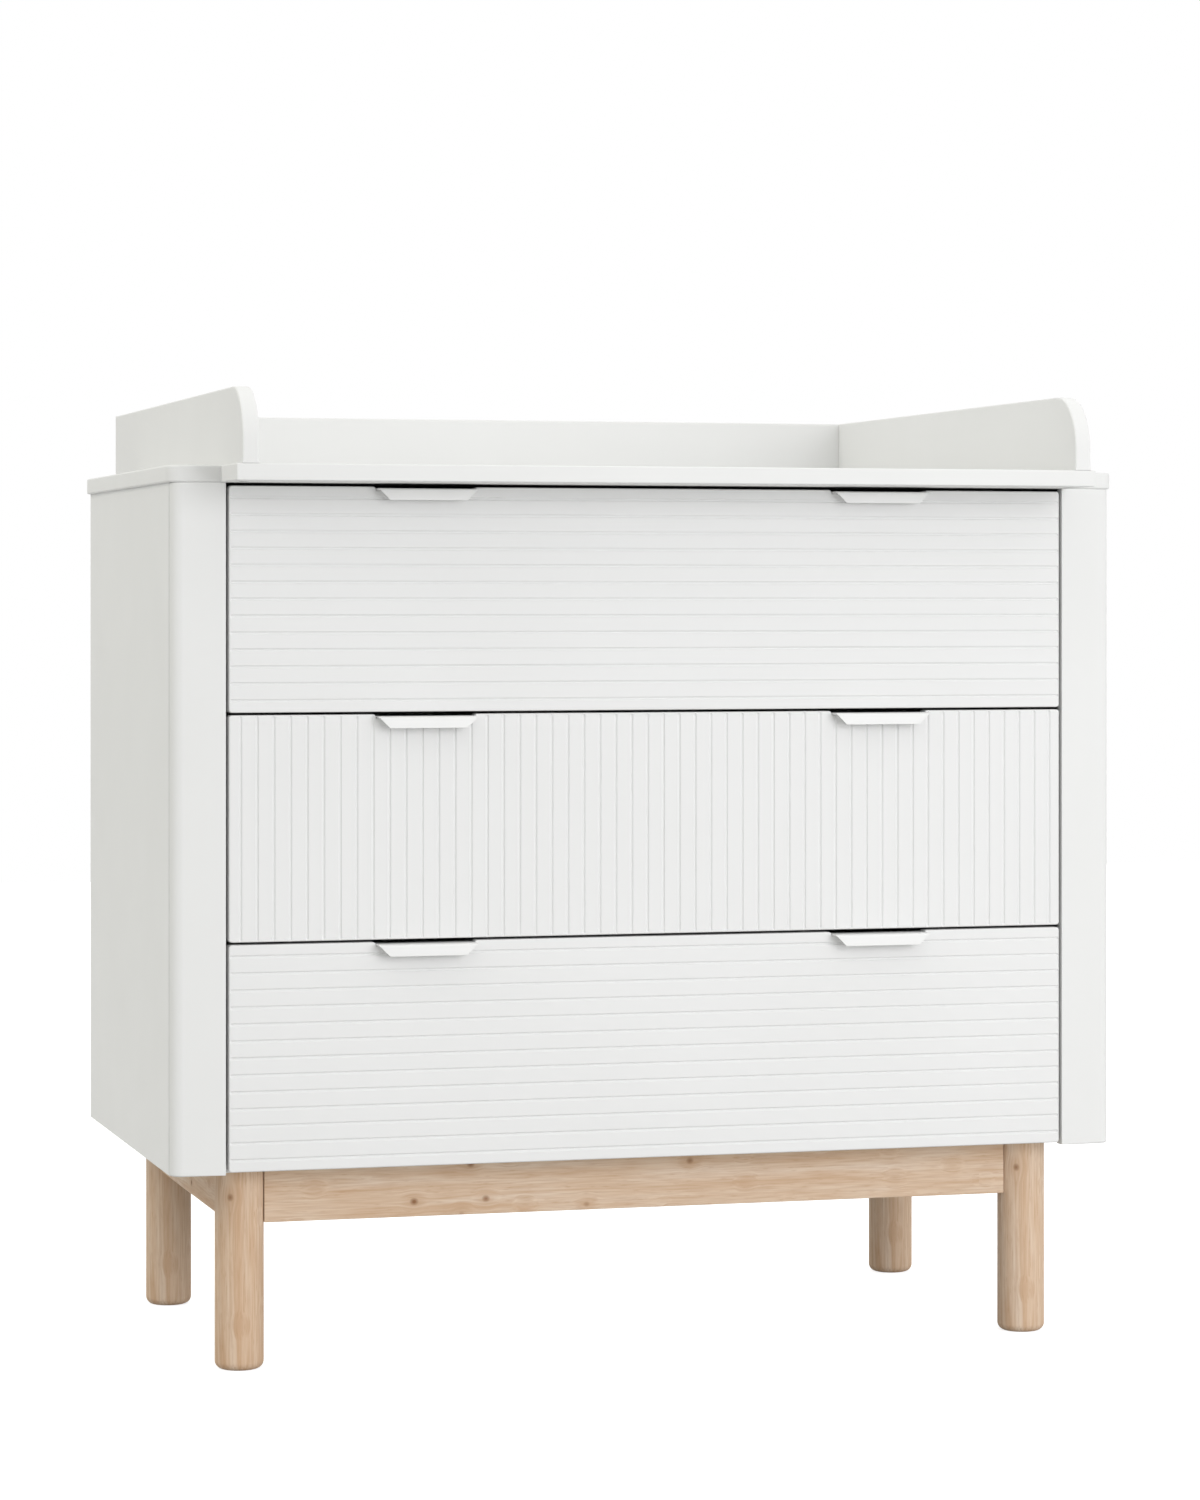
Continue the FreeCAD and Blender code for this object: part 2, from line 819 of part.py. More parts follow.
def groove_cutter(start, direction, length):
    """A round-ended rod whose lower part leaves one stopped groove."""
    radius = groove_cutter_radius()
    inset = groove_stop + groove_width / 2
    run = length - 2 * inset
    low = Part.makeCylinder(radius, run, start + direction * inset, direction)
    ends = [
        Part.makeSphere(radius, start + direction * inset),
        Part.makeSphere(radius, start + direction * (length - inset)),
    ]
    return low.fuse(ends)


def grooves(level, upright):
    y = front_y - groove_cutter_radius() + groove_depth
    if upright:
        starts = [at(x - half_front, y, level) for x in groove_places(front_width)]
        return [groove_cutter(start, ALONG_Z, front_height) for start in starts]
    starts = [at(-half_front, y, level + z) for z in groove_places(front_height)]
    return [groove_cutter(start, ALONG_X, front_width) for start in starts]


def pull_recess(level):
    """The notch in the front's upper edge that the right pull lies in."""
    half = pull_width / 2 + pull_side_gap
    high = level + front_height
    return block(
        (pull_offset - half, pull_offset + half),
        (front_y - overrun, front_rear + overrun),
        (high - pull_setdown - pull_sheet, high + overrun),
    )


def front_blank(level):
    """The board of one front, with its corners and face edges rounded."""
    board = block((-half_front, half_front), (front_y, front_rear), (level, level + front_height))

    def corner(box):
        return near(box.XMin, box.XMax) and near(box.ZMin, box.ZMax)

    board = rounded(board, front_corner_radius, corner)
    return rounded(board, front_edge_radius, lambda box: lies_at(box, "Y", front_y))


def side_housing(level):
    """The housing in the back of the front that the right drawer side enters."""
    return block(
        (box_inner - fit_gap, box_half + fit_gap),
        (front_rear - housing_depth, front_rear + overrun),
        (level + box_rise - fit_gap, level + box_rise + box_height + fit_gap),
    )


def bottom_groove(level):
    """The groove in the back of the front for the drawer's bottom."""
    low = level + box_rise + box_bottom_rise
    return block(
        (-box_inner, box_inner),
        (front_rear - box_bottom_groove, front_rear + overrun),
        (low, low + box_bottom_thickness + board_slack),
    )


def drawer_front(level, upright):
    """One finished front: grooves on the face, notches above, housings behind."""
    sides = [pull_recess(level), side_housing(level)] + pull_screws(level, fit_gap)
    cutters = both_sides(sides) + [bottom_groove(level)] + grooves(level, upright)
    return front_blank(level).cut(cutters)


# Edge pulls

def pull_top(level):
    return level + front_height - pull_setdown


def pull_flange_rear():
    return front_rear + pull_sheet


def edge_pull(level):
    """The right pull: a lip, a plate through the notch and a flange behind the front."""
    high = pull_top(level)
    outer = front_y - pull_projection
    rear = pull_flange_rear()
    left = pull_offset - pull_width / 2
    outline = [
        (outer, high),
        (rear, high),
        (rear, high - pull_sheet - pull_flange),
        (front_rear, high - pull_sheet - pull_flange),
        (front_rear, high - pull_sheet),
        (outer + pull_sheet, high - pull_sheet),
        (outer + pull_sheet, high - pull_lip),
        (outer, high - pull_lip),
    ]
    sheet = prism([at(left, y, z) for y, z in outline], ALONG_X * pull_width)

    def outer_bend(box):
        return lies_at(box, "Z", high) and (lies_at(box, "Y", outer) or lies_at(box, "Y", rear))

    def inner_bend(box):
        return lies_at(box, "Z", high - pull_sheet) and lies_at(box, "Y", outer + pull_sheet)

    sheet = rounded(sheet, pull_sheet, outer_bend)
    sheet = rounded(sheet, pull_inner_bend, inner_bend)
    return sheet.cut(lip_chamfers(level) + pull_screws(level, fit_gap))


def lip_chamfers(level):
    """The slanted cuts at both ends of the lip."""
    low = pull_top(level) - pull_lip
    y = front_y - pull_projection - overrun
    depth = pull_sheet + overrun
    cuts = []
    for side in (-1, 1):
        end = pull_offset + side * pull_width / 2
        points = [
            at(end + side * overrun, y, low - overrun),
            at(end - side * (pull_lip_chamfer + overrun), y, low - overrun),
            at(end + side * overrun, y, low + pull_lip_chamfer + overrun),
        ]
        cuts.append(prism(points, ALONG_Y * depth))
    return cuts


def pull_screws(level, grow=0):
    """Two small screws through the flange into the back of the front."""
    left = pull_offset - pull_width / 2
    z = pull_top(level) - pull_sheet - pull_flange * (1 - pull_screw_height_share)
    places = shared_out(pull_screw_shares, left, left + pull_width)
    return [small_screw(at(x, pull_flange_rear(), z), -ALONG_Y, grow) for x in places]


# Drawer boxes

def box_side(level):
    """The right side, let into the front, grooved for the bottom and the back."""
    low = level + box_rise
    side = block((box_inner, box_half), (front_rear - housing_depth, box_rear), (low, low + box_height))
    floor = low + box_bottom_rise
    groove = block(
        (box_inner - overrun, box_inner + box_bottom_groove),
        (front_rear - housing_depth - overrun, box_rear + overrun),
        (floor, floor + box_bottom_thickness + board_slack),
    )
    dado = block(
        (box_inner - overrun, box_inner + dado_depth),
        (box_rear - box_back_thickness, box_rear + overrun),
        (floor + box_bottom_thickness, low + box_height + overrun),
    )
    centre = low + runner_rise
    return side.cut([groove, dado] + drawer_channel_screws(centre, fit_gap))


def box_back(level):
    """The back, which stands on the bottom panel between the sides."""
    low = level + box_rise
    floor = low + box_bottom_rise + box_bottom_thickness
    half = box_inner + dado_depth
    return block((-half, half), (box_rear - box_back_thickness, box_rear), (floor, low + box_height))


def box_bottom(level):
    """The thin bottom, held in grooves in the front and the sides."""
    low = level + box_rise + box_bottom_rise
    half = box_inner + box_bottom_groove - board_slack
    front = front_rear - box_bottom_groove + board_slack
    middle = block((-half, half), (front_rear, box_rear), (low, low + box_bottom_thickness))
    tongue_half = box_inner - board_slack
    tongue = block((-tongue_half, tongue_half), (front, front_rear), (low, low + box_bottom_thickness))
    return middle.fuse(tongue).removeSplitter()


def write_drawer(name, level):
    side = box_side(level)
    pull = edge_pull(level)
    runner_level = level + box_rise + runner_rise
    screws = pull_screws(level) + drawer_channel_screws(runner_level)
    write(name + "_front", [drawer_front(level, name == upright_drawer)])
    write(name + "_side_right", [side])
    write(name + "_side_left", [mirrored(side)])
    write(name + "_back", [box_back(level)])
    write(name + "_bottom", [box_bottom(level)])
    write(name + "_pull_right", [pull])
    write(name + "_pull_left", [mirrored(pull)])
    write(name + "_screws", both_sides(screws))
    write(name + "_runner_channels", both_sides([drawer_channel(runner_level)]))
    write(name + "_middle_channels", both_sides([middle_channel(runner_level)]))


# Loose fasteners of the carcass

def write_fasteners():
    cams = floor_cams() + ceiling_cams()
    locks = [cam_lock(cam[0], cam[1], cam_bolt(cam, fit_gap)) for cam in cams]
    bolts = [leg_bolt(place) for place in leg_places()]
    write("cam_locks", both_sides(locks))
    write("cam_bolts", both_sides([cam_bolt(cam) for cam in cams]))
    write("wooden_dowels", all_dowels())
    write("wood_screws", all_wood_screws())
    write("leg_bolts", both_sides(bolts))
    write("leg_inserts", both_sides([leg_insert(leg_front_y), leg_insert(leg_rear_y)]))


os.makedirs("parts", exist_ok=True)
write_carcass()
write_base()
write_changing_top()
write_runner_supports()
for drawer_name, drawer_level in zip(drawer_names, front_levels()):
    write_drawer(drawer_name, drawer_level)
write_fasteners()
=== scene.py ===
import json
import math
import bmesh
import bpy
import numpy as np
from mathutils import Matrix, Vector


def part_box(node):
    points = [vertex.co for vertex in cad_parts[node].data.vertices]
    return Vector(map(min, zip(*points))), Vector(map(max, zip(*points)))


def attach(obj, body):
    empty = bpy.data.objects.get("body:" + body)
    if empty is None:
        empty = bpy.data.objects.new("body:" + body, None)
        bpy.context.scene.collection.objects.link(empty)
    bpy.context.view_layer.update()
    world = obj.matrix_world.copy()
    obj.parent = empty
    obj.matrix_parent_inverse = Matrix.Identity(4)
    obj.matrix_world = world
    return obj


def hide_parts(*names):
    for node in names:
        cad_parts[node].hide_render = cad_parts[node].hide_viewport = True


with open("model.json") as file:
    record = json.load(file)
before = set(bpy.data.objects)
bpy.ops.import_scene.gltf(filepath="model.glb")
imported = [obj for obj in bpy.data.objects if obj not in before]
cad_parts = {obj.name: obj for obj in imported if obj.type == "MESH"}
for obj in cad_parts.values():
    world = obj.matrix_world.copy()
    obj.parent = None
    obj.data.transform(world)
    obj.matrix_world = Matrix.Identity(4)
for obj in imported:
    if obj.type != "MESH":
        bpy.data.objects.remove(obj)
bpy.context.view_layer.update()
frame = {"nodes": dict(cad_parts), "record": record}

# Side panels
# Each side of the cabinet is one particle board under white lacquer, its edges eased by sanding.
# A stile closes its front edge, and dowels and cams join it to the floor and the top.

panel_ease = 0.00015
edge_steps = 5
corner_steps = 7
same_point = 0.000001
smooth_under = math.radians(35)
plan_axes = (0, 1, 2)
side_axes = (1, 2, 0)

noise_detail = 3.0
noise_range = (0.3, 0.7)
lacquer_white = (0.800, 0.803, 0.798, 1.0)
lacquer_shade = (0.787, 0.790, 0.784, 1.0)
lacquer_tone_places = (0.35, 0.65)
lacquer_cloud_scale = 5.0
lacquer_gloss_scale = 22.0
lacquer_roughness = (0.42, 0.50)
lacquer_shine = 0.03
lacquer_pebble_scale = 700.0
lacquer_pebble_height = 0.00003
lacquer_pebble_strength = 0.35

node_body = {}
for body, nodes in frame["record"]["behaviour"]["bodies"].items():
    node_body.update({node: body for node in nodes})


def unit(vectors):
    return vectors / np.linalg.norm(vectors, axis=-1, keepdims=True)


def rounded_outline(corners, radii, steps=corner_steps):
    """A closed outline with round corners: its points, and the direction out of it at each.

    The arc of radius r at a corner that turns by t starts r tan(t / 2) before the corner.
    After a further turn a it has gone r sin(a) along the first side and r (1 - cos(a)) inwards.
    """
    corners = np.array(corners, dtype=float)
    radii = np.array(radii, dtype=float)[:, None]
    before = unit(corners - np.roll(corners, 1, axis=0))
    after = unit(np.roll(corners, -1, axis=0) - corners)
    cross = before[:, 0] * after[:, 1] - before[:, 1] * after[:, 0]
    turn = np.arctan2(cross, (before * after).sum(axis=1))[:, None]
    inward = np.stack([-before[:, 1], before[:, 0]], axis=1) * np.sign(turn)
    angle = (np.abs(turn) * np.linspace(0, 1, steps))[..., None]
    start = corners - before * radii * np.tan(np.abs(turn) / 2)
    before = before[:, None]
    inward = inward[:, None]
    radii = radii[:, None]
    points = start[:, None] + before * radii * np.sin(angle) + inward * radii * (1 - np.cos(angle))
    along = before * np.cos(angle) + inward * np.sin(angle)
    outward = np.stack([along[..., 1], -along[..., 0]], axis=-1)
    return points.reshape(-1, 2), outward.reshape(-1, 2)


def rectangle(left, right, bottom, top):
    """A rectangle's corners, in turn."""
    return [(left, bottom), (right, bottom), (right, top), (left, top)]


def closed_piece(name, points, faces):
    """A mesh object with its doubles merged, its faces outward and its round edges smooth."""
    mesh = bpy.data.meshes.new(name)
    mesh.from_pydata(points.tolist(), [], faces)
    work = bmesh.new()
    work.from_mesh(mesh)
    bmesh.ops.remove_doubles(work, verts=work.verts, dist=same_point)
    bmesh.ops.recalc_face_normals(work, faces=work.faces)
    work.to_mesh(mesh)
    work.free()
    mesh.shade_smooth()
    mesh.set_sharp_from_angle(angle=smooth_under)
    piece = bpy.data.objects.new(name, mesh)
    bpy.context.scene.collection.objects.link(piece)
    normals = piece.modifiers.new("even_normals", "WEIGHTED_NORMAL")
    normals.keep_sharp = True
    return piece


def loop_faces(count, size, first=0):
    """Quads from each of count loops of size points to the next, and a flat face at each end."""
    number = first + np.arange(count * size).reshape(count, size)
    low = number[:-1]
    high = number[1:]
    quads = np.stack([low, np.roll(low, -1, axis=1), np.roll(high, -1, axis=1), high], axis=-1)
    return quads.reshape(-1, 4).tolist() + [number[0, ::-1].tolist(), number[-1].tolist()]


def skinned(name, *stacks):
    """One piece of closed shells, each skinned over a stack of loops."""
    points = []
    faces = []
    first = 0
    for loops in stacks:
        count, size = loops.shape[:2]
        points.append(loops.reshape(-1, 3))
        faces += loop_faces(count, size, first)
        first += count * size
    return closed_piece(name, np.concatenate(points), faces)


def board_loops(path, outward, low, high, ease, order):
    """The loops of a board whose outline is carried through its thickness from low to high.

    Beside each face the outline lies in by ease (1 - sin(a)) at a depth of ease (1 - cos(a)),
    for a from nothing on the face to a right angle on the edge. order names the three axes.
    """
    angle = np.linspace(0, math.pi / 2, edge_steps)[:, None]
    inset = ease * (1 - np.sin(angle))
    depth = ease * (1 - np.cos(angle))
    inset = np.concatenate([inset, inset[::-1]])
    across = np.concatenate([low + depth, high - depth[::-1]])
    flat = path - outward * inset[..., None]
    loops = np.empty(flat.shape[:2] + (3,))
    loops[..., order[0]] = flat[..., 0]
    loops[..., order[1]] = flat[..., 1]
    loops[..., order[2]] = across
    return loops


def node_box(node):
    """A node's lower and upper corner, as arrays."""
    low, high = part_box(node)
    return np.array(low), np.array(high)


def eased_board(node, ease):
    """A flat board in the node's own box, with every edge and corner eased by one radius."""
    low, high = node_box(node)
    order = np.argsort(low - high)
    first, second, thin = order
    corners = rectangle(low[first], high[first], low[second], high[second])
    path, outward = rounded_outline(corners, [ease] * len(corners))
    loops = board_loops(path, outward, low[thin], high[thin], ease, order)
    return skinned("finished_" + node, loops)


def stands_for(piece, node, material):
    """The piece takes the node's place on the same body, in the material given."""
    piece.data.materials.append(material)
    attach(piece, node_body[node])
    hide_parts(node)


def fresh_material(name):
    """A material with its node tree and its one shader."""
    material = bpy.data.materials.new(name)
    material.use_nodes = True
    tree = material.node_tree
    return material, tree, tree.nodes["Principled BSDF"]


def wired(tree, kind, inputs, **settings):
    """Add one node. Each input is set to a value, or linked to the other node's output given."""
    made = tree.nodes.new(kind)
    for setting, value in settings.items():
        setattr(made, setting, value)
    for socket, value in inputs.items():
        if isinstance(value, bpy.types.NodeSocket):
            tree.links.new(value, made.inputs[socket])
        else:
            made.inputs[socket].default_value = value
    return made.outputs


def ramped(tree, factor, places, colours):
    """Colours read off a ramp that has one colour at each place."""
    made = tree.nodes.new("ShaderNodeValToRGB")
    tree.links.new(factor, made.inputs["Fac"])
    elements = made.color_ramp.elements
    while len(elements) < len(places):
        elements.new(1)
    for element, place, colour in zip(elements, places, colours):
        element.position = place
        element.color = colour
    return made.outputs["Color"]


def ranged(tree, value, low, high, from_low=noise_range[0], from_high=noise_range[1]):
    """A value spread over the range from low to high, clamped at both ends."""
    inputs = {"Value": value, "To Min": low, "To Max": high}
    inputs.update({"From Min": from_low, "From Max": from_high})
    return wired(tree, "ShaderNodeMapRange", inputs)["Result"]


def noise(tree, place, scale, detail=noise_detail, distortion=0.0):
    """A noise value read at a place, with cells of about one part in scale of a metre."""
    inputs = {"Vector": place, "Scale": scale, "Detail": detail, "Distortion": distortion}
    return wired(tree, "ShaderNodeTexNoise", inputs)["Fac"]


def object_place(tree):
    """Each point's place on its own object."""
    return wired(tree, "ShaderNodeTexCoord", {})["Object"]


def surfaced(tree, shader, tone, roughness, height, strength, distance):
    """Give a shader its colour, its roughness, and its relief as bump."""
    inputs = {"Height": height, "Strength": strength, "Distance": distance}
    normal = wired(tree, "ShaderNodeBump", inputs)["Normal"]
    tree.links.new(tone, shader.inputs["Base Color"])
    tree.links.new(roughness, shader.inputs["Roughness"])
    tree.links.new(normal, shader.inputs["Normal"])


def lacquer(name, colour, shade):
    """Sprayed matt lacquer: a faint cloud in its tone and gloss, and the coat's fine pebble."""
    material, tree, shader = fresh_material(name)
    place = object_place(tree)
    cloud = noise(tree, place, lacquer_cloud_scale)
    tone = ramped(tree, cloud, lacquer_tone_places, (shade, colour))
    gloss = ranged(tree, noise(tree, place, lacquer_gloss_scale), *lacquer_roughness)
    pebble = noise(tree, place, lacquer_pebble_scale)
    surfaced(tree, shader, tone, gloss, pebble, lacquer_pebble_strength, lacquer_pebble_height)
    shader.inputs["Specular IOR Level"].default_value = lacquer_shine
    return material


carcass_lacquer = lacquer("carcass_lacquer", lacquer_white, lacquer_shade)
for side in ("left", "right"):
    node = "side_panel_" + side
    stands_for(eased_board(node, panel_ease), node, carcass_lacquer)

# Front stiles
# A narrow lacquered board stands against the front edge of each side panel, beside the drawers.
# Its outer front edge is a broad round and its inner one is only eased. It stops just short of
# the panel, so that the seam shows, and three dowels hold it.

stile_round = 0.012
stile_inner_round = 0.0006
stile_end_ease = 0.0020
stile_rear_ease = 0.0001
stile_reveal = 0.0026
stile_steps = 12

for side, sign in (("left", -1), ("right", 1)):
    node = "front_stile_" + side
    low, high = node_box(node)
    inner, outer = sorted(abs(np.array([low[0], high[0]])))
    rear = high[1] - stile_reveal
    corners = [(inner, low[1]), (outer, low[1]), (outer, rear), (inner, rear)]
    radii = [stile_inner_round, stile_round, stile_rear_ease, stile_rear_ease]
    path, outward = rounded_outline(corners, radii, stile_steps)
    mirror = np.array([sign, 1])
    eases = [stile_inner_round, stile_end_ease, stile_rear_ease, stile_rear_ease]
    eases = np.repeat(eases, stile_steps)
    loops = board_loops(path * mirror, outward * mirror, low[2], high[2], eases, plan_axes)
    stands_for(skinned("finished_" + node, loops), node, carcass_lacquer)

# Cabinet floor and back
# The floor is a melamine board between the sides. The back is thin painted hardboard in grooves.
# Both are plain boards, and the runners and drawers hide most of them.

board_tone_places = (0.3, 0.6)
melamine_white = (0.780, 0.785, 0.770, 1.0)
melamine_shade = (0.750, 0.755, 0.740, 1.0)
melamine_grain_scale = 260.0
melamine_grain_stretch = (1.0, 0.12, 1.0)
melamine_roughness = (0.45, 0.60)
melamine_grain_height = 0.00005
melamine_grain_strength = 0.4
hardboard_white = (0.760, 0.765, 0.745, 1.0)
hardboard_shade = (0.720, 0.725, 0.700, 1.0)
hardboard_fibre_scale = 420.0
hardboard_fibre_detail = 5.0
hardboard_fibre_wander = 1.0
hardboard_fibre_height = 0.00008
hardboard_fibre_strength = 0.4
hardboard_roughness = (0.60, 0.75)
floor_ease = 0.0005
back_ease = 0.0003


def stretched(tree, stretch):
    """Object coordinates squeezed or drawn out along each axis."""
    inputs = {"Vector": object_place(tree), "Scale": stretch}
    return wired(tree, "ShaderNodeMapping", inputs)["Vector"]


def melamine(name):
    """Printed white melamine with the faint pressed grain of its caul plate."""
    material, tree, shader = fresh_material(name)
    grain = noise(tree, stretched(tree, melamine_grain_stretch), melamine_grain_scale)
    tone = ramped(tree, grain, board_tone_places, (melamine_shade, melamine_white))
    gloss = ranged(tree, grain, *melamine_roughness)
    surfaced(tree, shader, tone, gloss, grain, melamine_grain_strength, melamine_grain_height)
    return material


def hardboard(name):
    """Thin hardboard under one coat of white paint, with its fibres just showing."""
    material, tree, shader = fresh_material(name)
    shape = (hardboard_fibre_scale, hardboard_fibre_detail, hardboard_fibre_wander)
    fibre = noise(tree, object_place(tree), *shape)
    tone = ramped(tree, fibre, board_tone_places, (hardboard_shade, hardboard_white))
    gloss = ranged(tree, fibre, *hardboard_roughness)
    surfaced(tree, shader, tone, gloss, fibre, hardboard_fibre_strength, hardboard_fibre_height)
    return material


white_melamine = melamine("white_melamine")
white_hardboard = hardboard("white_hardboard")
stands_for(eased_board("bottom_panel", floor_ease), "bottom_panel", white_melamine)
stands_for(eased_board("back_panel", back_ease), "back_panel", white_hardboard)

# Top panel
# The cabinet's lacquered top stands out past the sides, its front corners cut to a broad round.
# The two boards of the changing top meet its front and rear edges.

top_corner_round = 0.015
top_rear_round = 0.002
top_ease = 0.002
top_steps = 14

low, high = node_box("top_panel")
corners = rectangle(low[0], high[0], low[1], high[1])
radii = [top_corner_round, top_corner_round, top_rear_round, top_rear_round]
path, outward = rounded_outline(corners, radii, top_steps)
loops = board_loops(path, outward, low[2], high[2], top_ease, plan_axes)
stands_for(skinned("finished_top_panel", loops), "top_panel", carcass_lacquer)

# Legs
# Four round posts of solid beech under clear oil, turned with a rounded foot.
# A bolt through the cabinet floor pulls each one up against the board.

leg_foot_round = 0.008
leg_top_ease = 0.0004
leg_sides = 72
foot_steps = 9
leg_grain_axis = 2
leg_warmth = {
    ("front", "left"): 0.45,
    ("front", "right"): 0.1,
    ("rear", "left"): 0.1,
    ("rear", "right"): 0.2,
}

mix_sockets = (0, 6, 7)
mix_colour_out = 2
beech_pale = (0.785, 0.650, 0.530, 1.0)
beech_mid = (0.730, 0.565, 0.425, 1.0)
beech_deep = (0.660, 0.470, 0.325, 1.0)
beech_line = (0.480, 0.275, 0.145, 1.0)
beech_knot = (0.240, 0.105, 0.045, 1.0)
beech_warm_tint = (0.925, 0.845, 0.760, 1.0)
beech_tone_places = (0.30, 0.50, 0.70)
beech_band_scale = 95.0
beech_band_along = 0.060
beech_band_detail = 3.0
beech_band_wander = 0.5
beech_streak_scale = 560.0
beech_streak_along = 0.050
beech_streak_detail = 4.0
beech_streak_range = (0.40, 0.75)
beech_streak_share = 0.50
beech_fibre_scale = 1500.0
beech_fibre_along = 0.030
beech_fibre_detail = 4.0
beech_fleck_scale = 260.0
beech_fleck_along = 0.22
beech_fleck_range = (0.02, 0.26)
beech_fleck_share = 0.30
beech_knot_scale = 25.0
beech_knot_along = 0.85
beech_knot_range = (0.025, 0.105)
beech_knot_share = 0.85
beech_halo_range = (0.030, 0.300)
beech_halo_share = 0.34
beech_bend_range = (0.0, 0.36)
beech_bend_share = 0.70
beech_roughness = (0.50, 0.64)
beech_shine = 0.03
beech_fibre_height = 0.00004
beech_fibre_strength = 0.30


def blended(tree, share, first, second, how="MIX"):
    """Two colours mixed by a share, or by another of the mix node's ways."""
    made = tree.nodes.new("ShaderNodeMix")
    made.data_type = "RGBA"
    made.blend_type = how
    made.clamp_factor = True
    for number, value in zip(mix_sockets, (share, first, second)):
        if isinstance(value, bpy.types.NodeSocket):
            tree.links.new(value, made.inputs[number])
        else:
            made.inputs[number].default_value = value
    return made.outputs[mix_colour_out]


def along_grain(axis, amount):
    """A stretch that draws a pattern out along the grain's axis."""
    stretch = [1.0, 1.0, 1.0]
    stretch[axis] = amount
    return stretch


def vector_math(tree, operation, first, second):
    """Two vectors joined by one operation, or a vector scaled by a value."""
    socket = "Scale" if operation == "SCALE" else 1
    return wired(tree, "ShaderNodeVectorMath", {0: first, socket: second}, operation=operation)[0]


def beech(name, axis, shift, warmth):
    """Solid beech: soft growth bands, fine streaks, ray flecks and a few pin knots on one axis.

    Each pattern is a noise drawn out along the grain, and its shift makes every piece differ.
    Near a knot a point p reads the patterns at p - share (p - knot), so the grain bends round it.
    """

    def near(along, scale):
        inputs = {"Vector": place, "Scale": along_grain(axis, along)}
        spot = wired(tree, "ShaderNodeMapping", inputs)["Vector"]
        cells = wired(tree, "ShaderNodeTexVoronoi", {"Vector": spot, "Scale": scale})
        return spot, cells["Distance"], cells["Position"]

    def grain(amount, scale, detail, wander=0.0):
        inputs = {"Vector": bent, "Scale": along_grain(axis, amount)}
        spot = wired(tree, "ShaderNodeMapping", inputs)["Vector"]
        return noise(tree, spot, scale, detail, wander)

    material, tree, shader = fresh_material(name)
    inputs = {"Vector": object_place(tree), "Location": shift}
    place = wired(tree, "ShaderNodeMapping", inputs)["Vector"]
    spot, distance, centre = near(beech_knot_along, beech_knot_scale)
    share = ranged(tree, distance, beech_bend_share, 0.0, *beech_bend_range)
    away = vector_math(tree, "SUBTRACT", spot, centre)
    bent = vector_math(tree, "SUBTRACT", place, vector_math(tree, "SCALE", away, share))

    bands = grain(beech_band_along, beech_band_scale, beech_band_detail, beech_band_wander)
    tone = ramped(tree, bands, beech_tone_places, (beech_deep, beech_mid, beech_pale))
    streak = grain(beech_streak_along, beech_streak_scale, beech_streak_detail)
    streaks = ranged(tree, streak, 0.0, beech_streak_share, *beech_streak_range)
    tone = blended(tree, streaks, tone, beech_line)
    fleck = near(beech_fleck_along, beech_fleck_scale)[1]
    flecks = ranged(tree, fleck, beech_fleck_share, 0.0, *beech_fleck_range)
    tone = blended(tree, flecks, tone, beech_line)
    halo = ranged(tree, distance, beech_halo_share, 0.0, *beech_halo_range)
    tone = blended(tree, halo, tone, beech_line)
    core = ranged(tree, distance, beech_knot_share, 0.0, *beech_knot_range)
    tone = blended(tree, core, tone, beech_knot)
    tone = blended(tree, warmth, tone, beech_warm_tint, "MULTIPLY")
    fibre = grain(beech_fibre_along, beech_fibre_scale, beech_fibre_detail)
    gloss = ranged(tree, fibre, *beech_roughness)
    surfaced(tree, shader, tone, gloss, fibre, beech_fibre_strength, beech_fibre_height)
    shader.inputs["Specular IOR Level"].default_value = beech_shine
    return material


def turned_loops(centre, radii, heights, sides):
    """Loops of a turned piece: each height's circle, centre + radius (cos(a), sin(a))."""
    angle = np.linspace(0, math.tau, sides, endpoint=False)
    circle = np.stack([np.cos(angle), np.sin(angle)], axis=-1)
    flat = centre[:2] + np.array(radii)[:, None, None] * circle
    level = np.broadcast_to(np.array(heights)[:, None, None], flat.shape[:2] + (1,))
    return np.concatenate([flat, level], axis=-1)


def quarter(steps):
    """Sine and cosine over a right angle."""
    angle = np.linspace(0, math.pi / 2, steps)
    return np.sin(angle), np.cos(angle)


for end in ("front", "rear"):
    for side in ("left", "right"):
        node = "leg_%s_%s" % (end, side)
        low, high = node_box(node)
        centre = (low + high) / 2
        radius = (high[0] - low[0]) / 2
        sine, cosine = quarter(foot_steps)
        foot_radii = radius - leg_foot_round * (1 - sine)
        foot_heights = low[2] + leg_foot_round * (1 - cosine)
        top_radii = radius - leg_top_ease * (1 - cosine)
        top_heights = high[2] - leg_top_ease * (1 - sine)
        loops = turned_loops(
            centre,
            np.concatenate([foot_radii, top_radii]),
            np.concatenate([foot_heights, top_heights]),
            leg_sides,
        )
        post = skinned("finished_" + node, loops)
        wood = beech("beech_" + node, leg_grain_axis, tuple(-centre), leg_warmth[end, side])
        stands_for(post, node, wood)

# Aprons
# Four beech rails tie the legs together under the cabinet floor. Each end is scribed hollow
# to fit round its leg, and two dowels hold it there.

apron_gap = 0.0009
apron_ease = 0.001
apron_end_shares = (0.02, 0.5, 0.85)
apron_warmth = 0.0


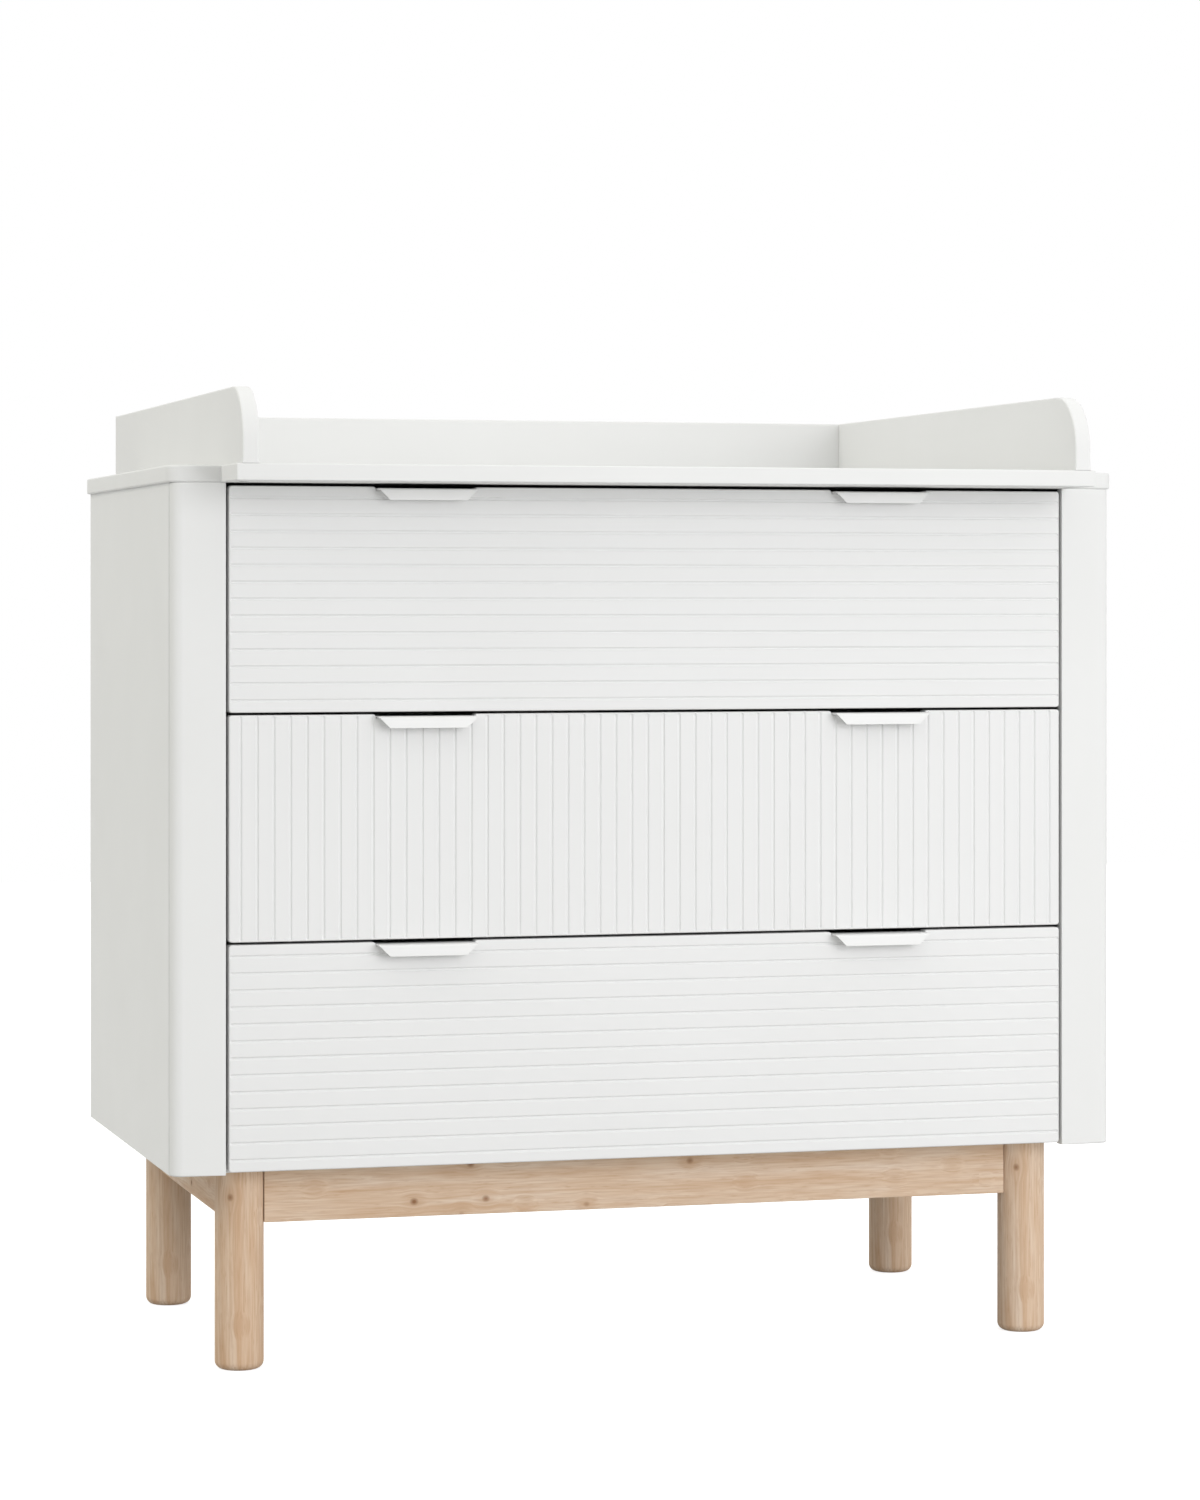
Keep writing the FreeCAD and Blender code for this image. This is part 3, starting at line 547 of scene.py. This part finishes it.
def scribed_loops(path, outward, middle, low_leg, high_leg, room, order):
    """An apron between two round legs: its section carried from one leg's wall to the other's.

    At an offset d from the legs' centre line the wall stands sqrt(room² - d²) from the centre.
    The first loops close the hollow end, shrunk about the section's middle. The next ease its
    arris: at an angle a they lie in by ease (1 - sin(a)), and ease (1 - cos(a)) off the wall.
    """
    angle = np.linspace(0, math.pi / 2, edge_steps)[:, None, None]
    eased = path - outward * apron_ease * (1 - np.sin(angle))
    shares = np.array(apron_end_shares)[:, None, None]
    section = np.concatenate([middle + (eased[0] - middle) * shares, eased])
    back = np.append(np.zeros(len(apron_end_shares)), apron_ease * (1 - np.cos(angle)))[:, None]
    wall = np.sqrt(room * room - (section[..., 0] - middle[0]) ** 2) + back
    length = np.concatenate([low_leg + wall, (high_leg - wall)[::-1]])
    section = np.concatenate([section, section[::-1]])
    loops = np.empty(section.shape[:2] + (3,))
    loops[..., order[0]] = section[..., 0]
    loops[..., order[1]] = section[..., 1]
    loops[..., order[2]] = length
    return loops


def leg_place(end, side):
    """A leg's centre and radius."""
    low, high = node_box("leg_%s_%s" % (end, side))
    return (low + high) / 2, (high[0] - low[0]) / 2


apron_legs = {
    "apron_front": (("front", "left"), ("front", "right"), 0),
    "apron_rear": (("rear", "left"), ("rear", "right"), 0),
    "apron_left": (("front", "left"), ("rear", "left"), 1),
    "apron_right": (("front", "right"), ("rear", "right"), 1),
}
for node, (first_leg, second_leg, axis) in apron_legs.items():
    low, high = node_box(node)
    across = 1 - axis
    first_centre, leg_radius = leg_place(*first_leg)
    second_centre, leg_radius = leg_place(*second_leg)
    corners = rectangle(low[across], high[across], low[2], high[2])
    path, outward = rounded_outline(corners, [apron_ease] * len(corners))
    middle = np.array([first_centre[across], (low[2] + high[2]) / 2])
    room = leg_radius + apron_gap
    ends = (first_centre[axis], second_centre[axis])
    loops = scribed_loops(path, outward, middle, *ends, room, (across, 2, axis))
    rail = skinned("finished_" + node, loops)
    wood = beech("beech_" + node, axis, tuple(-(low + high) / 2), apron_warmth)
    stands_for(rail, node, wood)

# Changing top boards
# Two lacquered boards carry the changing top past the cabinet, level with its top panel.
# Their free edges are eased, and dowels and the rails above hold them to the panel.

extension_ease = 0.0015
seam_ease = 0.0004
ease_run = 0.003
extension_steps = 6


def extension_outline(low, high, seam, free):
    """The board's plan, with a short run at each seam corner in which its easing fades out."""
    fade = seam + (ease_run if free > seam else -ease_run)
    corners = [(low, free), (high, free), (high, fade), (high, seam), (low, seam), (low, fade)]
    eases = [extension_ease, extension_ease, extension_ease, seam_ease, seam_ease, extension_ease]
    if free > seam:
        corners.reverse()
        eases.reverse()
    path, outward = rounded_outline(corners, eases, extension_steps)
    return path, outward, np.repeat(eases, extension_steps)


for node, seam_first in (("changer_front_board", False), ("changer_rear_board", True)):
    low, high = node_box(node)
    seam, free = (low[1], high[1]) if seam_first else (high[1], low[1])
    path, outward, eases = extension_outline(low[0], high[0], seam, free)
    loops = board_loops(path, outward, low[2], high[2], eases, plan_axes)
    stands_for(skinned("finished_" + node, loops), node, carcass_lacquer)

# Changing top rails
# Two lacquered rails stand on edge along the whole depth, each with a broad round at its front
# end, and a third closes the rear between them. Screws from below hold them to the boards.

rail_nose = 0.054
rail_ease = 0.002
rail_foot_ease = 0.0005
rail_steps = 22

for side in ("left", "right"):
    node = "changer_rail_" + side
    low, high = node_box(node)
    corners = [
        (low[1], low[2]),
        (low[1] + ease_run, low[2]),
        (high[1] - ease_run, low[2]),
        (high[1], low[2]),
        (high[1], high[2]),
        (high[1] - ease_run, high[2]),
        (low[1], high[2]),
        (low[1], low[2] + ease_run),
    ]
    small = rail_foot_ease
    radii = [small, small, small, small, small, small, rail_nose, small]
    eases = [small, small, small, small, small, rail_ease, rail_ease, rail_ease]
    path, outward = rounded_outline(corners, radii, rail_steps)
    eases = np.repeat(eases, rail_steps)
    loops = board_loops(path, outward, low[0], high[0], eases, side_axes)
    stands_for(skinned("finished_" + node, loops), node, carcass_lacquer)

low, high = node_box("changer_back_rail")
corners = rectangle(low[1], high[1], low[2], high[2])
radii = [rail_foot_ease, rail_foot_ease, rail_ease, rail_ease]
path, outward = rounded_outline(corners, radii)
loops = board_loops(path, outward, low[0], high[0], rail_foot_ease, side_axes)
stands_for(skinned("finished_changer_back_rail", loops), "changer_back_rail", carcass_lacquer)

# Drawer fronts
# Each front is a lacquered fibreboard panel with a row of round-bottomed grooves milled in its
# face: level grooves on the top and bottom drawers, upright ones on the middle drawer.
# Two notches in its upper edge take the plates of the pulls.

front_corner = 0.003
front_ease = 0.0015
front_rear_ease = 0.0005
groove_pitch = 0.0165
groove_half_width = 0.0017
groove_depth = 0.0015
groove_margin = 0.011
groove_stop = 0.0008
groove_softness = 0.00012
groove_half_shares = (0.35, 0.65, 0.88, 1.0, 1.1, 1.3)
notch_gap = 0.00015
notch_drop = 0.0038
notch_corner = 0.0025
notch_wall = 0.00005
notch_fade = 0.008
front_rim_steps = 6
line_rounding = 5

front_white = (0.806, 0.808, 0.808, 1.0)
front_shade = (0.796, 0.798, 0.797, 1.0)


def groove_lines(length):
    """Centre lines of the grooves across a length, evenly spaced about its middle."""
    steps = int((length - 2 * groove_margin) // groove_pitch)
    first = (length - steps * groove_pitch) / 2
    return first + groove_pitch * np.arange(steps + 1)


def grid_lines(length, extra):
    """Grid places along a length: close together in the rim, and at each extra place within."""
    rim = np.append(front_ease * (1 - quarter(front_rim_steps)[1]), front_corner)
    within = extra[(extra > 0) & (extra < length)]
    places = np.concatenate([rim, length - rim, within])
    return np.unique(np.round(places, line_rounding))


def notch_lines(low, high):
    """Places across a notch's two walls and round the corners above them."""
    steps = np.append(notch_corner * (1 - quarter(front_rim_steps)[0]), -notch_wall)
    return np.concatenate([low - steps, high + steps, [(low + high) / 2]])


def notch_depth(x, low, high):
    """How far the upper edge drops at x: a quarter circle down each wall, then the flat floor."""
    beyond = np.maximum(low - x, x - high)
    run = np.clip(notch_corner - beyond, 0, notch_corner)
    arc = notch_corner - np.sqrt(notch_corner ** 2 - run ** 2)
    return np.where(beyond < -notch_wall / 2, notch_drop, arc)


def corner_pull(across, up, half_across, half_up):
    """Draw the grid's square corners in to round ones.

    In a corner's square a point at offsets a and b from the round's centre moves along its
    own direction to the distance max(a, b), so that squares become circles. Returns the new
    offsets from the middle and the distance left to the rim.
    """
    a = np.abs(across) - (half_across - front_corner)
    b = np.abs(up) - (half_up - front_corner)
    reach = np.maximum(a, b)
    in_corner = (a > 0) & (b > 0)
    away = np.hypot(np.where(in_corner, a, 1), np.where(in_corner, b, 1))
    ratio = np.where(in_corner, reach / away, 1)
    new_a = np.where(in_corner, a * ratio, a)
    new_b = np.where(in_corner, b * ratio, b)
    new_across = np.sign(across) * (new_a + half_across - front_corner)
    new_up = np.sign(up) * (new_b + half_up - front_corner)
    return new_across, new_up, front_corner - reach


def groove_sink(along, across, length, lines):
    """How deep the nearest groove lies below the face.

    Its section is a parabola, depth (1 - (d / half)²) at the distance d from the groove's
    centre line, which stops short of both rims. The arris is rounded by (v + sqrt(v² + s²)) / 2.
    """
    nearest = np.clip(np.round((across - lines[0]) / groove_pitch), 0, len(lines) - 1)
    sideways = across - (lines[0] + nearest * groove_pitch)
    reach = length / 2 - groove_stop - groove_half_width
    beyond = np.maximum(np.abs(along - length / 2) - reach, 0)
    share = (sideways ** 2 + beyond ** 2) / groove_half_width ** 2
    value = groove_depth * (1 - share)
    return (value + np.sqrt(value ** 2 + groove_softness ** 2)) / 2


def front_grid(upright, lines, width, height, notch_places):
    """Grid places across and up the face, close together in grooves, notches and rims."""
    half = np.array(groove_half_shares)
    shares = np.concatenate([-half[::-1], [0], half]) * groove_half_width
    bands = (lines[:, None] + shares).ravel()
    run = height if upright else width
    stop = groove_stop + groove_half_width
    ends = np.concatenate([stop + shares, run - stop + shares])
    fade_places = np.linspace(height - notch_fade, height, front_rim_steps)
    x_extra = np.concatenate([bands if upright else ends, notch_places])
    z_extra = np.concatenate([ends if upright else bands, fade_places])
    return np.meshgrid(grid_lines(width, x_extra), grid_lines(height, z_extra))


def drawer_front(node, upright, notches):
    """The front's face as one grid of places across and up, closed by its sides and back."""
    low, high = node_box(node)
    width = high[0] - low[0]
    height = high[2] - low[2]
    run, spread = (height, width) if upright else (width, height)
    lines = groove_lines(spread)
    notch_places = np.concatenate([notch_lines(*notch) for notch in notches]) - low[0]
    x, z = front_grid(upright, lines, width, height, notch_places)
    x, z, to_rim = corner_pull(x - width / 2, z - height / 2, width / 2, height / 2)
    x = x + width / 2
    z = z + height / 2
    sinks = [notch_depth(x + low[0], *notch) for notch in notches]
    fade = np.clip((z - height + notch_fade) / notch_fade, 0, 1)
    z = z - np.maximum(*sinks) * fade
    inside = np.clip(front_ease - to_rim, 0, front_ease)
    rim = front_ease - np.sqrt(front_ease ** 2 - inside ** 2)
    along, across = (z, x) if upright else (x, z)
    sink = rim + groove_sink(along, across, run, lines)
    face = np.stack([low[0] + x, low[1] + sink, low[2] + z], axis=-1)
    return closed_front(node, face, high[1])


def closed_front(node, face, rear):
    """Close the face's grid with its sides and a flat back, eased where they meet."""
    rows, columns = face.shape[:2]
    number = np.arange(rows * columns).reshape(rows, columns)
    quads = np.stack([number[:-1, :-1], number[:-1, 1:], number[1:, 1:], number[1:, :-1]], axis=-1)
    border = np.concatenate([number[0, :-1], number[:-1, -1], number[-1, :0:-1], number[:0:-1, 0]])
    edge = face.reshape(-1, 3)[border]
    middle = edge.mean(axis=0)
    side = edge.copy()
    side[:, 1] = rear - front_rear_ease
    back = edge - np.sign(edge - middle) * front_rear_ease
    back[:, 1] = rear
    loops = np.stack([edge, side, back])
    walls = loop_faces(len(loops), len(border), rows * columns)
    # The last two faces close both ends, and the grid itself is the first of them.
    del walls[-2]
    points = np.concatenate([face.reshape(-1, 3), loops.reshape(-1, 3)])
    return closed_piece("finished_" + node, points, quads.reshape(-1, 4).tolist() + walls)


def pull_notches(drawer):
    """The lower and upper x of the notch for each of a drawer's pulls."""
    notches = []
    for side in ("left", "right"):
        low, high = node_box("%s_pull_%s" % (drawer, side))
        notches.append((low[0] - notch_gap, high[0] + notch_gap))
    return notches


front_lacquer = lacquer("front_lacquer", front_white, front_shade)
drawers = ("bottom_drawer", "middle_drawer", "top_drawer")
for drawer in drawers:
    node = drawer + "_front"
    piece = drawer_front(node, drawer == "middle_drawer", pull_notches(drawer))
    stands_for(piece, node, front_lacquer)

# Edge pulls
# Each pull is one strip of 2 mm steel, bent twice and powder coated white. Its lip hangs in front,
# both ends cut at a slant. Its plate lies in the notch, and its flange is screwed on behind.

pull_sheet = 0.002
pull_lip = 0.0115
pull_lip_chamfer = 0.011
pull_inner_round = 0.0005
pull_cut_ease = 0.0003
pull_steps = 8

coat_white = (0.800, 0.803, 0.798, 1.0)
coat_shade = (0.787, 0.790, 0.784, 1.0)
coat_scale = 6.0
coat_roughness = (0.38, 0.46)
coat_pebble_scale = 1400.0
coat_pebble_height = 0.00002
coat_pebble_strength = 0.4


def powder_coat(name):
    """Satin powder coat, a little finer in its pebble than the lacquer."""
    material, tree, shader = fresh_material(name)
    place = object_place(tree)
    cloud = noise(tree, place, coat_scale)
    tone = ramped(tree, cloud, lacquer_tone_places, (coat_shade, coat_white))
    pebble = noise(tree, place, coat_pebble_scale)
    gloss = ranged(tree, pebble, *coat_roughness)
    surfaced(tree, shader, tone, gloss, pebble, coat_pebble_strength, coat_pebble_height)
    return material


def edge_pull(node, front_rear):
    """The strip's bent section carried across its width, less a slant at the lip's two ends.

    On the lip the half width is full - max(0, chamfer - height above the lip's lower edge).
    """
    low, high = node_box(node)
    outer = low[1]
    rear = high[1]
    top = high[2]
    corners = [
        (outer, top - pull_lip),
        (outer + pull_sheet, top - pull_lip),
        (outer + pull_sheet, top - pull_sheet),
        (front_rear, top - pull_sheet),
        (front_rear, low[2]),
        (rear, low[2]),
        (rear, top),
        (outer, top),
    ]
    cut = pull_cut_ease
    radii = [cut, cut, pull_inner_round, cut, cut, cut, pull_sheet, pull_sheet]
    path, outward = rounded_outline(corners, radii, pull_steps)
    middle = (low[0] + high[0]) / 2
    half = (high[0] - low[0]) / 2
    slant = np.maximum(0, pull_lip_chamfer - (path[:, 1] - top + pull_lip))
    half = half - np.where(path[:, 0] < outer + 2 * pull_sheet, slant, 0)
    loops = board_loops(path, outward, middle - half, middle + half, cut, side_axes)
    return skinned("finished_" + node, loops)


white_coat = powder_coat("white_coat")
for drawer in drawers:
    front_rear = node_box(drawer + "_front")[1][1]
    for side in ("left", "right"):
        node = "%s_pull_%s" % (drawer, side)
        stands_for(edge_pull(node, front_rear), node, white_coat)

# Drawer boxes
# Each box has melamine sides and back, housed in one another and in the front, and a thin
# hardboard bottom that slides in grooves.

box_ease = 0.0005
box_bottom_ease = 0.0003

for drawer in drawers:
    for part in ("_side_left", "_side_right", "_back"):
        stands_for(eased_board(drawer + part, box_ease), drawer + part, white_melamine)
    node = drawer + "_bottom"
    stands_for(eased_board(node, box_bottom_ease), node, white_hardboard)

# Runners
# Telescopic runners of rolled steel, zinc plated: an outer channel on the cabinet's batten, a
# middle one that travels half as far as the drawer, and an inner one on the drawer's side.

zinc_light = (0.660, 0.668, 0.680, 1.0)
zinc_warm = (0.630, 0.630, 0.618, 1.0)
zinc_metallic = 1.0
zinc_cloud_places = (0.35, 0.6)
zinc_cloud_scale = 60.0
zinc_streak_scale = 500.0
zinc_streak_stretch = (1.0, 0.03, 1.0)
zinc_roughness = (0.22, 0.36)
zinc_streak_height = 0.00002
zinc_streak_strength = 0.3
weld_distance = 0.00001
rolled_edge = 0.0003
rolled_segments = 2
flat_within = math.radians(1)


def zinc_plate(name):
    """Bright zinc plate, drawn along the runner, with a faint warm and cool cloud."""
    material, tree, shader = fresh_material(name)
    shader.inputs["Metallic"].default_value = zinc_metallic
    streak = noise(tree, stretched(tree, zinc_streak_stretch), zinc_streak_scale)
    cloud = noise(tree, object_place(tree), zinc_cloud_scale)
    tone = ramped(tree, cloud, zinc_cloud_places, (zinc_warm, zinc_light))
    gloss = ranged(tree, streak, *zinc_roughness)
    surfaced(tree, shader, tone, gloss, streak, zinc_streak_strength, zinc_streak_height)
    return material


def dressed(node, material):
    """Keep the node's own shape: its triangles joined, and its finish set."""
    shown = frame["nodes"][node]
    if not shown.material_slots:
        shown.data.materials.append(material)
    for held in shown.material_slots:
        held.material = material
    weld = shown.modifiers.new("joined", "WELD")
    weld.merge_threshold = weld_distance
    return shown


def rolled(node, material):
    """A node of bent sheet, with its bends and edges rounded."""
    shown = dressed(node, material)
    flat = shown.modifiers.new("flat_faces", "DECIMATE")
    flat.decimate_type = "DISSOLVE"
    flat.angle_limit = flat_within
    bevel = shown.modifiers.new("rolled_edges", "BEVEL")
    bevel.width = rolled_edge
    bevel.segments = rolled_segments
    bevel.limit_method = "ANGLE"
    bevel.harden_normals = True


bright_zinc = zinc_plate("bright_zinc")
rolled("runner_cabinet_channels", bright_zinc)
for drawer in drawers:
    rolled(drawer + "_middle_channels", bright_zinc)
    rolled(drawer + "_runner_channels", bright_zinc)

# Runner battens
# Planed pine strips on the side panels bring the runners out level with the stiles.

pine_pale = (0.720, 0.560, 0.350, 1.0)
pine_deep = (0.560, 0.370, 0.190, 1.0)
pine_ring_places = (0.0, 0.75, 1.0)
pine_ring_scale = 30.0
pine_ring_stretch = (1.0, 0.04, 1.0)
pine_ring_wander = 3.0
pine_ring_detail = 2.0
pine_roughness = (0.50, 0.65)
pine_ring_height = 0.0001
pine_ring_strength = 0.3


def pine(name):
    """Planed pine: soft pale wood with darker late rings, its grain along the batten."""
    material, tree, shader = fresh_material(name)
    inputs = {
        "Vector": stretched(tree, pine_ring_stretch),
        "Scale": pine_ring_scale,
        "Distortion": pine_ring_wander,
        "Detail": pine_ring_detail,
    }
    wave = {"bands_direction": "Z", "wave_profile": "SAW"}
    rings = wired(tree, "ShaderNodeTexWave", inputs, **wave)["Fac"]
    tone = ramped(tree, rings, pine_ring_places, (pine_pale, pine_pale, pine_deep))
    gloss = ranged(tree, rings, *pine_roughness, 0.0, 1.0)
    surfaced(tree, shader, tone, gloss, rings, pine_ring_strength, pine_ring_height)
    return material


dressed("runner_battens", pine("planed_pine"))

# Fasteners
# Zinc-plated screws, bolts and inserts, die-cast cams and raw beech dowels hold the boards.

cast_grey = (0.420, 0.420, 0.430, 1.0)
cast_dark = (0.340, 0.340, 0.350, 1.0)
cast_tone_places = (0.3, 0.7)
cast_scale = 900.0
cast_roughness = (0.40, 0.55)
cast_height = 0.00005
cast_strength = 0.4
dowel_grain_axis = 0
dowel_shift = (0.0, 0.0, 0.0)
dowel_warmth = 0.0


def die_cast(name):
    """Grey die-cast zinc with a slightly sandy skin."""
    material, tree, shader = fresh_material(name)
    shader.inputs["Metallic"].default_value = zinc_metallic
    skin = noise(tree, object_place(tree), cast_scale)
    tone = ramped(tree, skin, cast_tone_places, (cast_dark, cast_grey))
    gloss = ranged(tree, skin, *cast_roughness)
    surfaced(tree, shader, tone, gloss, skin, cast_strength, cast_height)
    return material


cast_zinc = die_cast("cast_zinc")
dressed("cam_locks", cast_zinc)
for node in ("cam_bolts", "wood_screws", "leg_bolts", "leg_inserts", "runner_screws"):
    dressed(node, bright_zinc)
for drawer in drawers:
    dressed(drawer + "_screws", bright_zinc)
raw_beech = beech("dowel_beech", dowel_grain_axis, dowel_shift, dowel_warmth)
dressed("wooden_dowels", raw_beech)

# Studio
# A pale floor that shows white but keeps a soft shadow, a white room that is dimmer near the
# horizon for the light it sheds, and three large soft lamps: one in front on the right, one high
# on the left and one high behind on the right. The camera stands where the photograph's did.

floor_size = 14.0
floor_glow = 0.80
floor_colour = (0.50, 0.50, 0.495, 1.0)
floor_roughness = 1.0
pure_white = (1.0, 1.0, 1.0, 1.0)
horizon_level = 0.38
horizon_height = 0.30
room_level = 0.80
sky_level = 0.98
lamp_size = 2.4
lamp_aim = (0.0, -0.1, 0.45)
key_place = (1.3, -3.9, 1.2)
key_power = 67.5
left_place = (-3.2, 0.1, 3.0)
left_power = 29.0
rear_place = (2.0, 2.2, 4.0)
rear_power = 28.0
room_tint = (1.0, 1.0, 0.982, 1.0)
left_tint = (1.0, 0.985, 0.86)
cool_tint = (0.985, 0.985, 1.0)
camera_place = (-1.20351, -4.37748, 0.75665)
camera_turn = math.radians(-15.682)
camera_lens = 102.2
camera_sensor = 36.0
camera_shift_up = -0.1


def combined(tree, operation, first, second):
    """Two values joined by one operation, held between nothing and one."""
    inputs = {0: first, 1: second}
    return wired(tree, "ShaderNodeMath", inputs, operation=operation, use_clamp=True)[0]


def seen_by_eye(tree):
    """One for rays from the camera, a shiny surface or clear glass, nothing for other light."""
    rays = wired(tree, "ShaderNodeLightPath", {})
    mirrored = combined(tree, "ADD", rays["Is Glossy Ray"], rays["Is Transmission Ray"])
    return combined(tree, "ADD", rays["Is Camera Ray"], mirrored)


def white_room():
    """A world that shows as white, and lights the chest by a level that rises with height.

    With h the height of a direction, from 0 at the horizon to 1 overhead, the level rises
    evenly from the horizon's to the room's up to horizon_height, and as h² to the sky's.
    """
    world = bpy.data.worlds.new("white_room")
    world.use_nodes = True
    tree = world.node_tree
    direction = wired(tree, "ShaderNodeTexCoord", {})["Generated"]
    height = wired(tree, "ShaderNodeSeparateXYZ", {"Vector": direction})["Z"]
    above = combined(tree, "MAXIMUM", height, 0.0)
    rise = combined(tree, "MULTIPLY", above, above)
    haze = ranged(tree, height, horizon_level, room_level, 0.0, horizon_height)
    light = ranged(tree, rise, haze, sky_level, 0.0, 1.0)
    seen = seen_by_eye(tree)
    level = ranged(tree, seen, light, 1.0, 0.0, 1.0)
    colour = blended(tree, seen, room_tint, pure_white)
    background = tree.nodes["Background"]
    tree.links.new(colour, background.inputs["Color"])
    tree.links.new(level, background.inputs["Strength"])
    bpy.context.scene.world = world


def pale_floor():
    """A wide flat sheet that glows where it is seen, so that it ends in the white room."""
    half = floor_size / 2
    mesh = bpy.data.meshes.new("studio_floor")
    corners = [corner + (0,) for corner in rectangle(-half, half, -half, half)]
    mesh.from_pydata(corners, [], [range(len(corners))])
    floor = bpy.data.objects.new("studio_floor", mesh)
    bpy.context.scene.collection.objects.link(floor)
    material, tree, shader = fresh_material("studio_floor")
    shader.inputs["Base Color"].default_value = floor_colour
    shader.inputs["Roughness"].default_value = floor_roughness
    shader.inputs["Emission Color"].default_value = pure_white
    glow = ranged(tree, seen_by_eye(tree), 0.0, floor_glow, 0.0, 1.0)
    tree.links.new(glow, shader.inputs["Emission Strength"])
    mesh.materials.append(material)


def soft_lamp(name, place, power, tint):
    """A large round lamp turned to look at the middle of the chest."""
    lamp = bpy.data.lights.new(name, "AREA")
    lamp.shape = "DISK"
    lamp.size = lamp_size
    lamp.energy = power
    lamp.color = tint
    holder = bpy.data.objects.new(name, lamp)
    holder.location = place
    east, north, up = np.array(lamp_aim) - np.array(place)
    tilt = math.atan2(math.hypot(east, north), -up)
    holder.rotation_euler = (tilt, 0, math.atan2(-east, north))
    bpy.context.scene.collection.objects.link(holder)


white_room()
pale_floor()
soft_lamp("key_lamp", key_place, key_power, cool_tint)
soft_lamp("left_lamp", left_place, left_power, left_tint)
soft_lamp("rear_lamp", rear_place, rear_power, cool_tint)
bpy.context.scene.view_settings.view_transform = "Standard"

camera_data = bpy.data.cameras.new("camera")
camera_data.lens = camera_lens
camera_data.sensor_width = camera_sensor
camera_data.shift_y = camera_shift_up
camera = bpy.data.objects.new("camera", camera_data)
camera.location = camera_place
camera.rotation_euler = (math.pi / 2, 0, camera_turn)
bpy.context.scene.collection.objects.link(camera)
bpy.context.scene.camera = camera
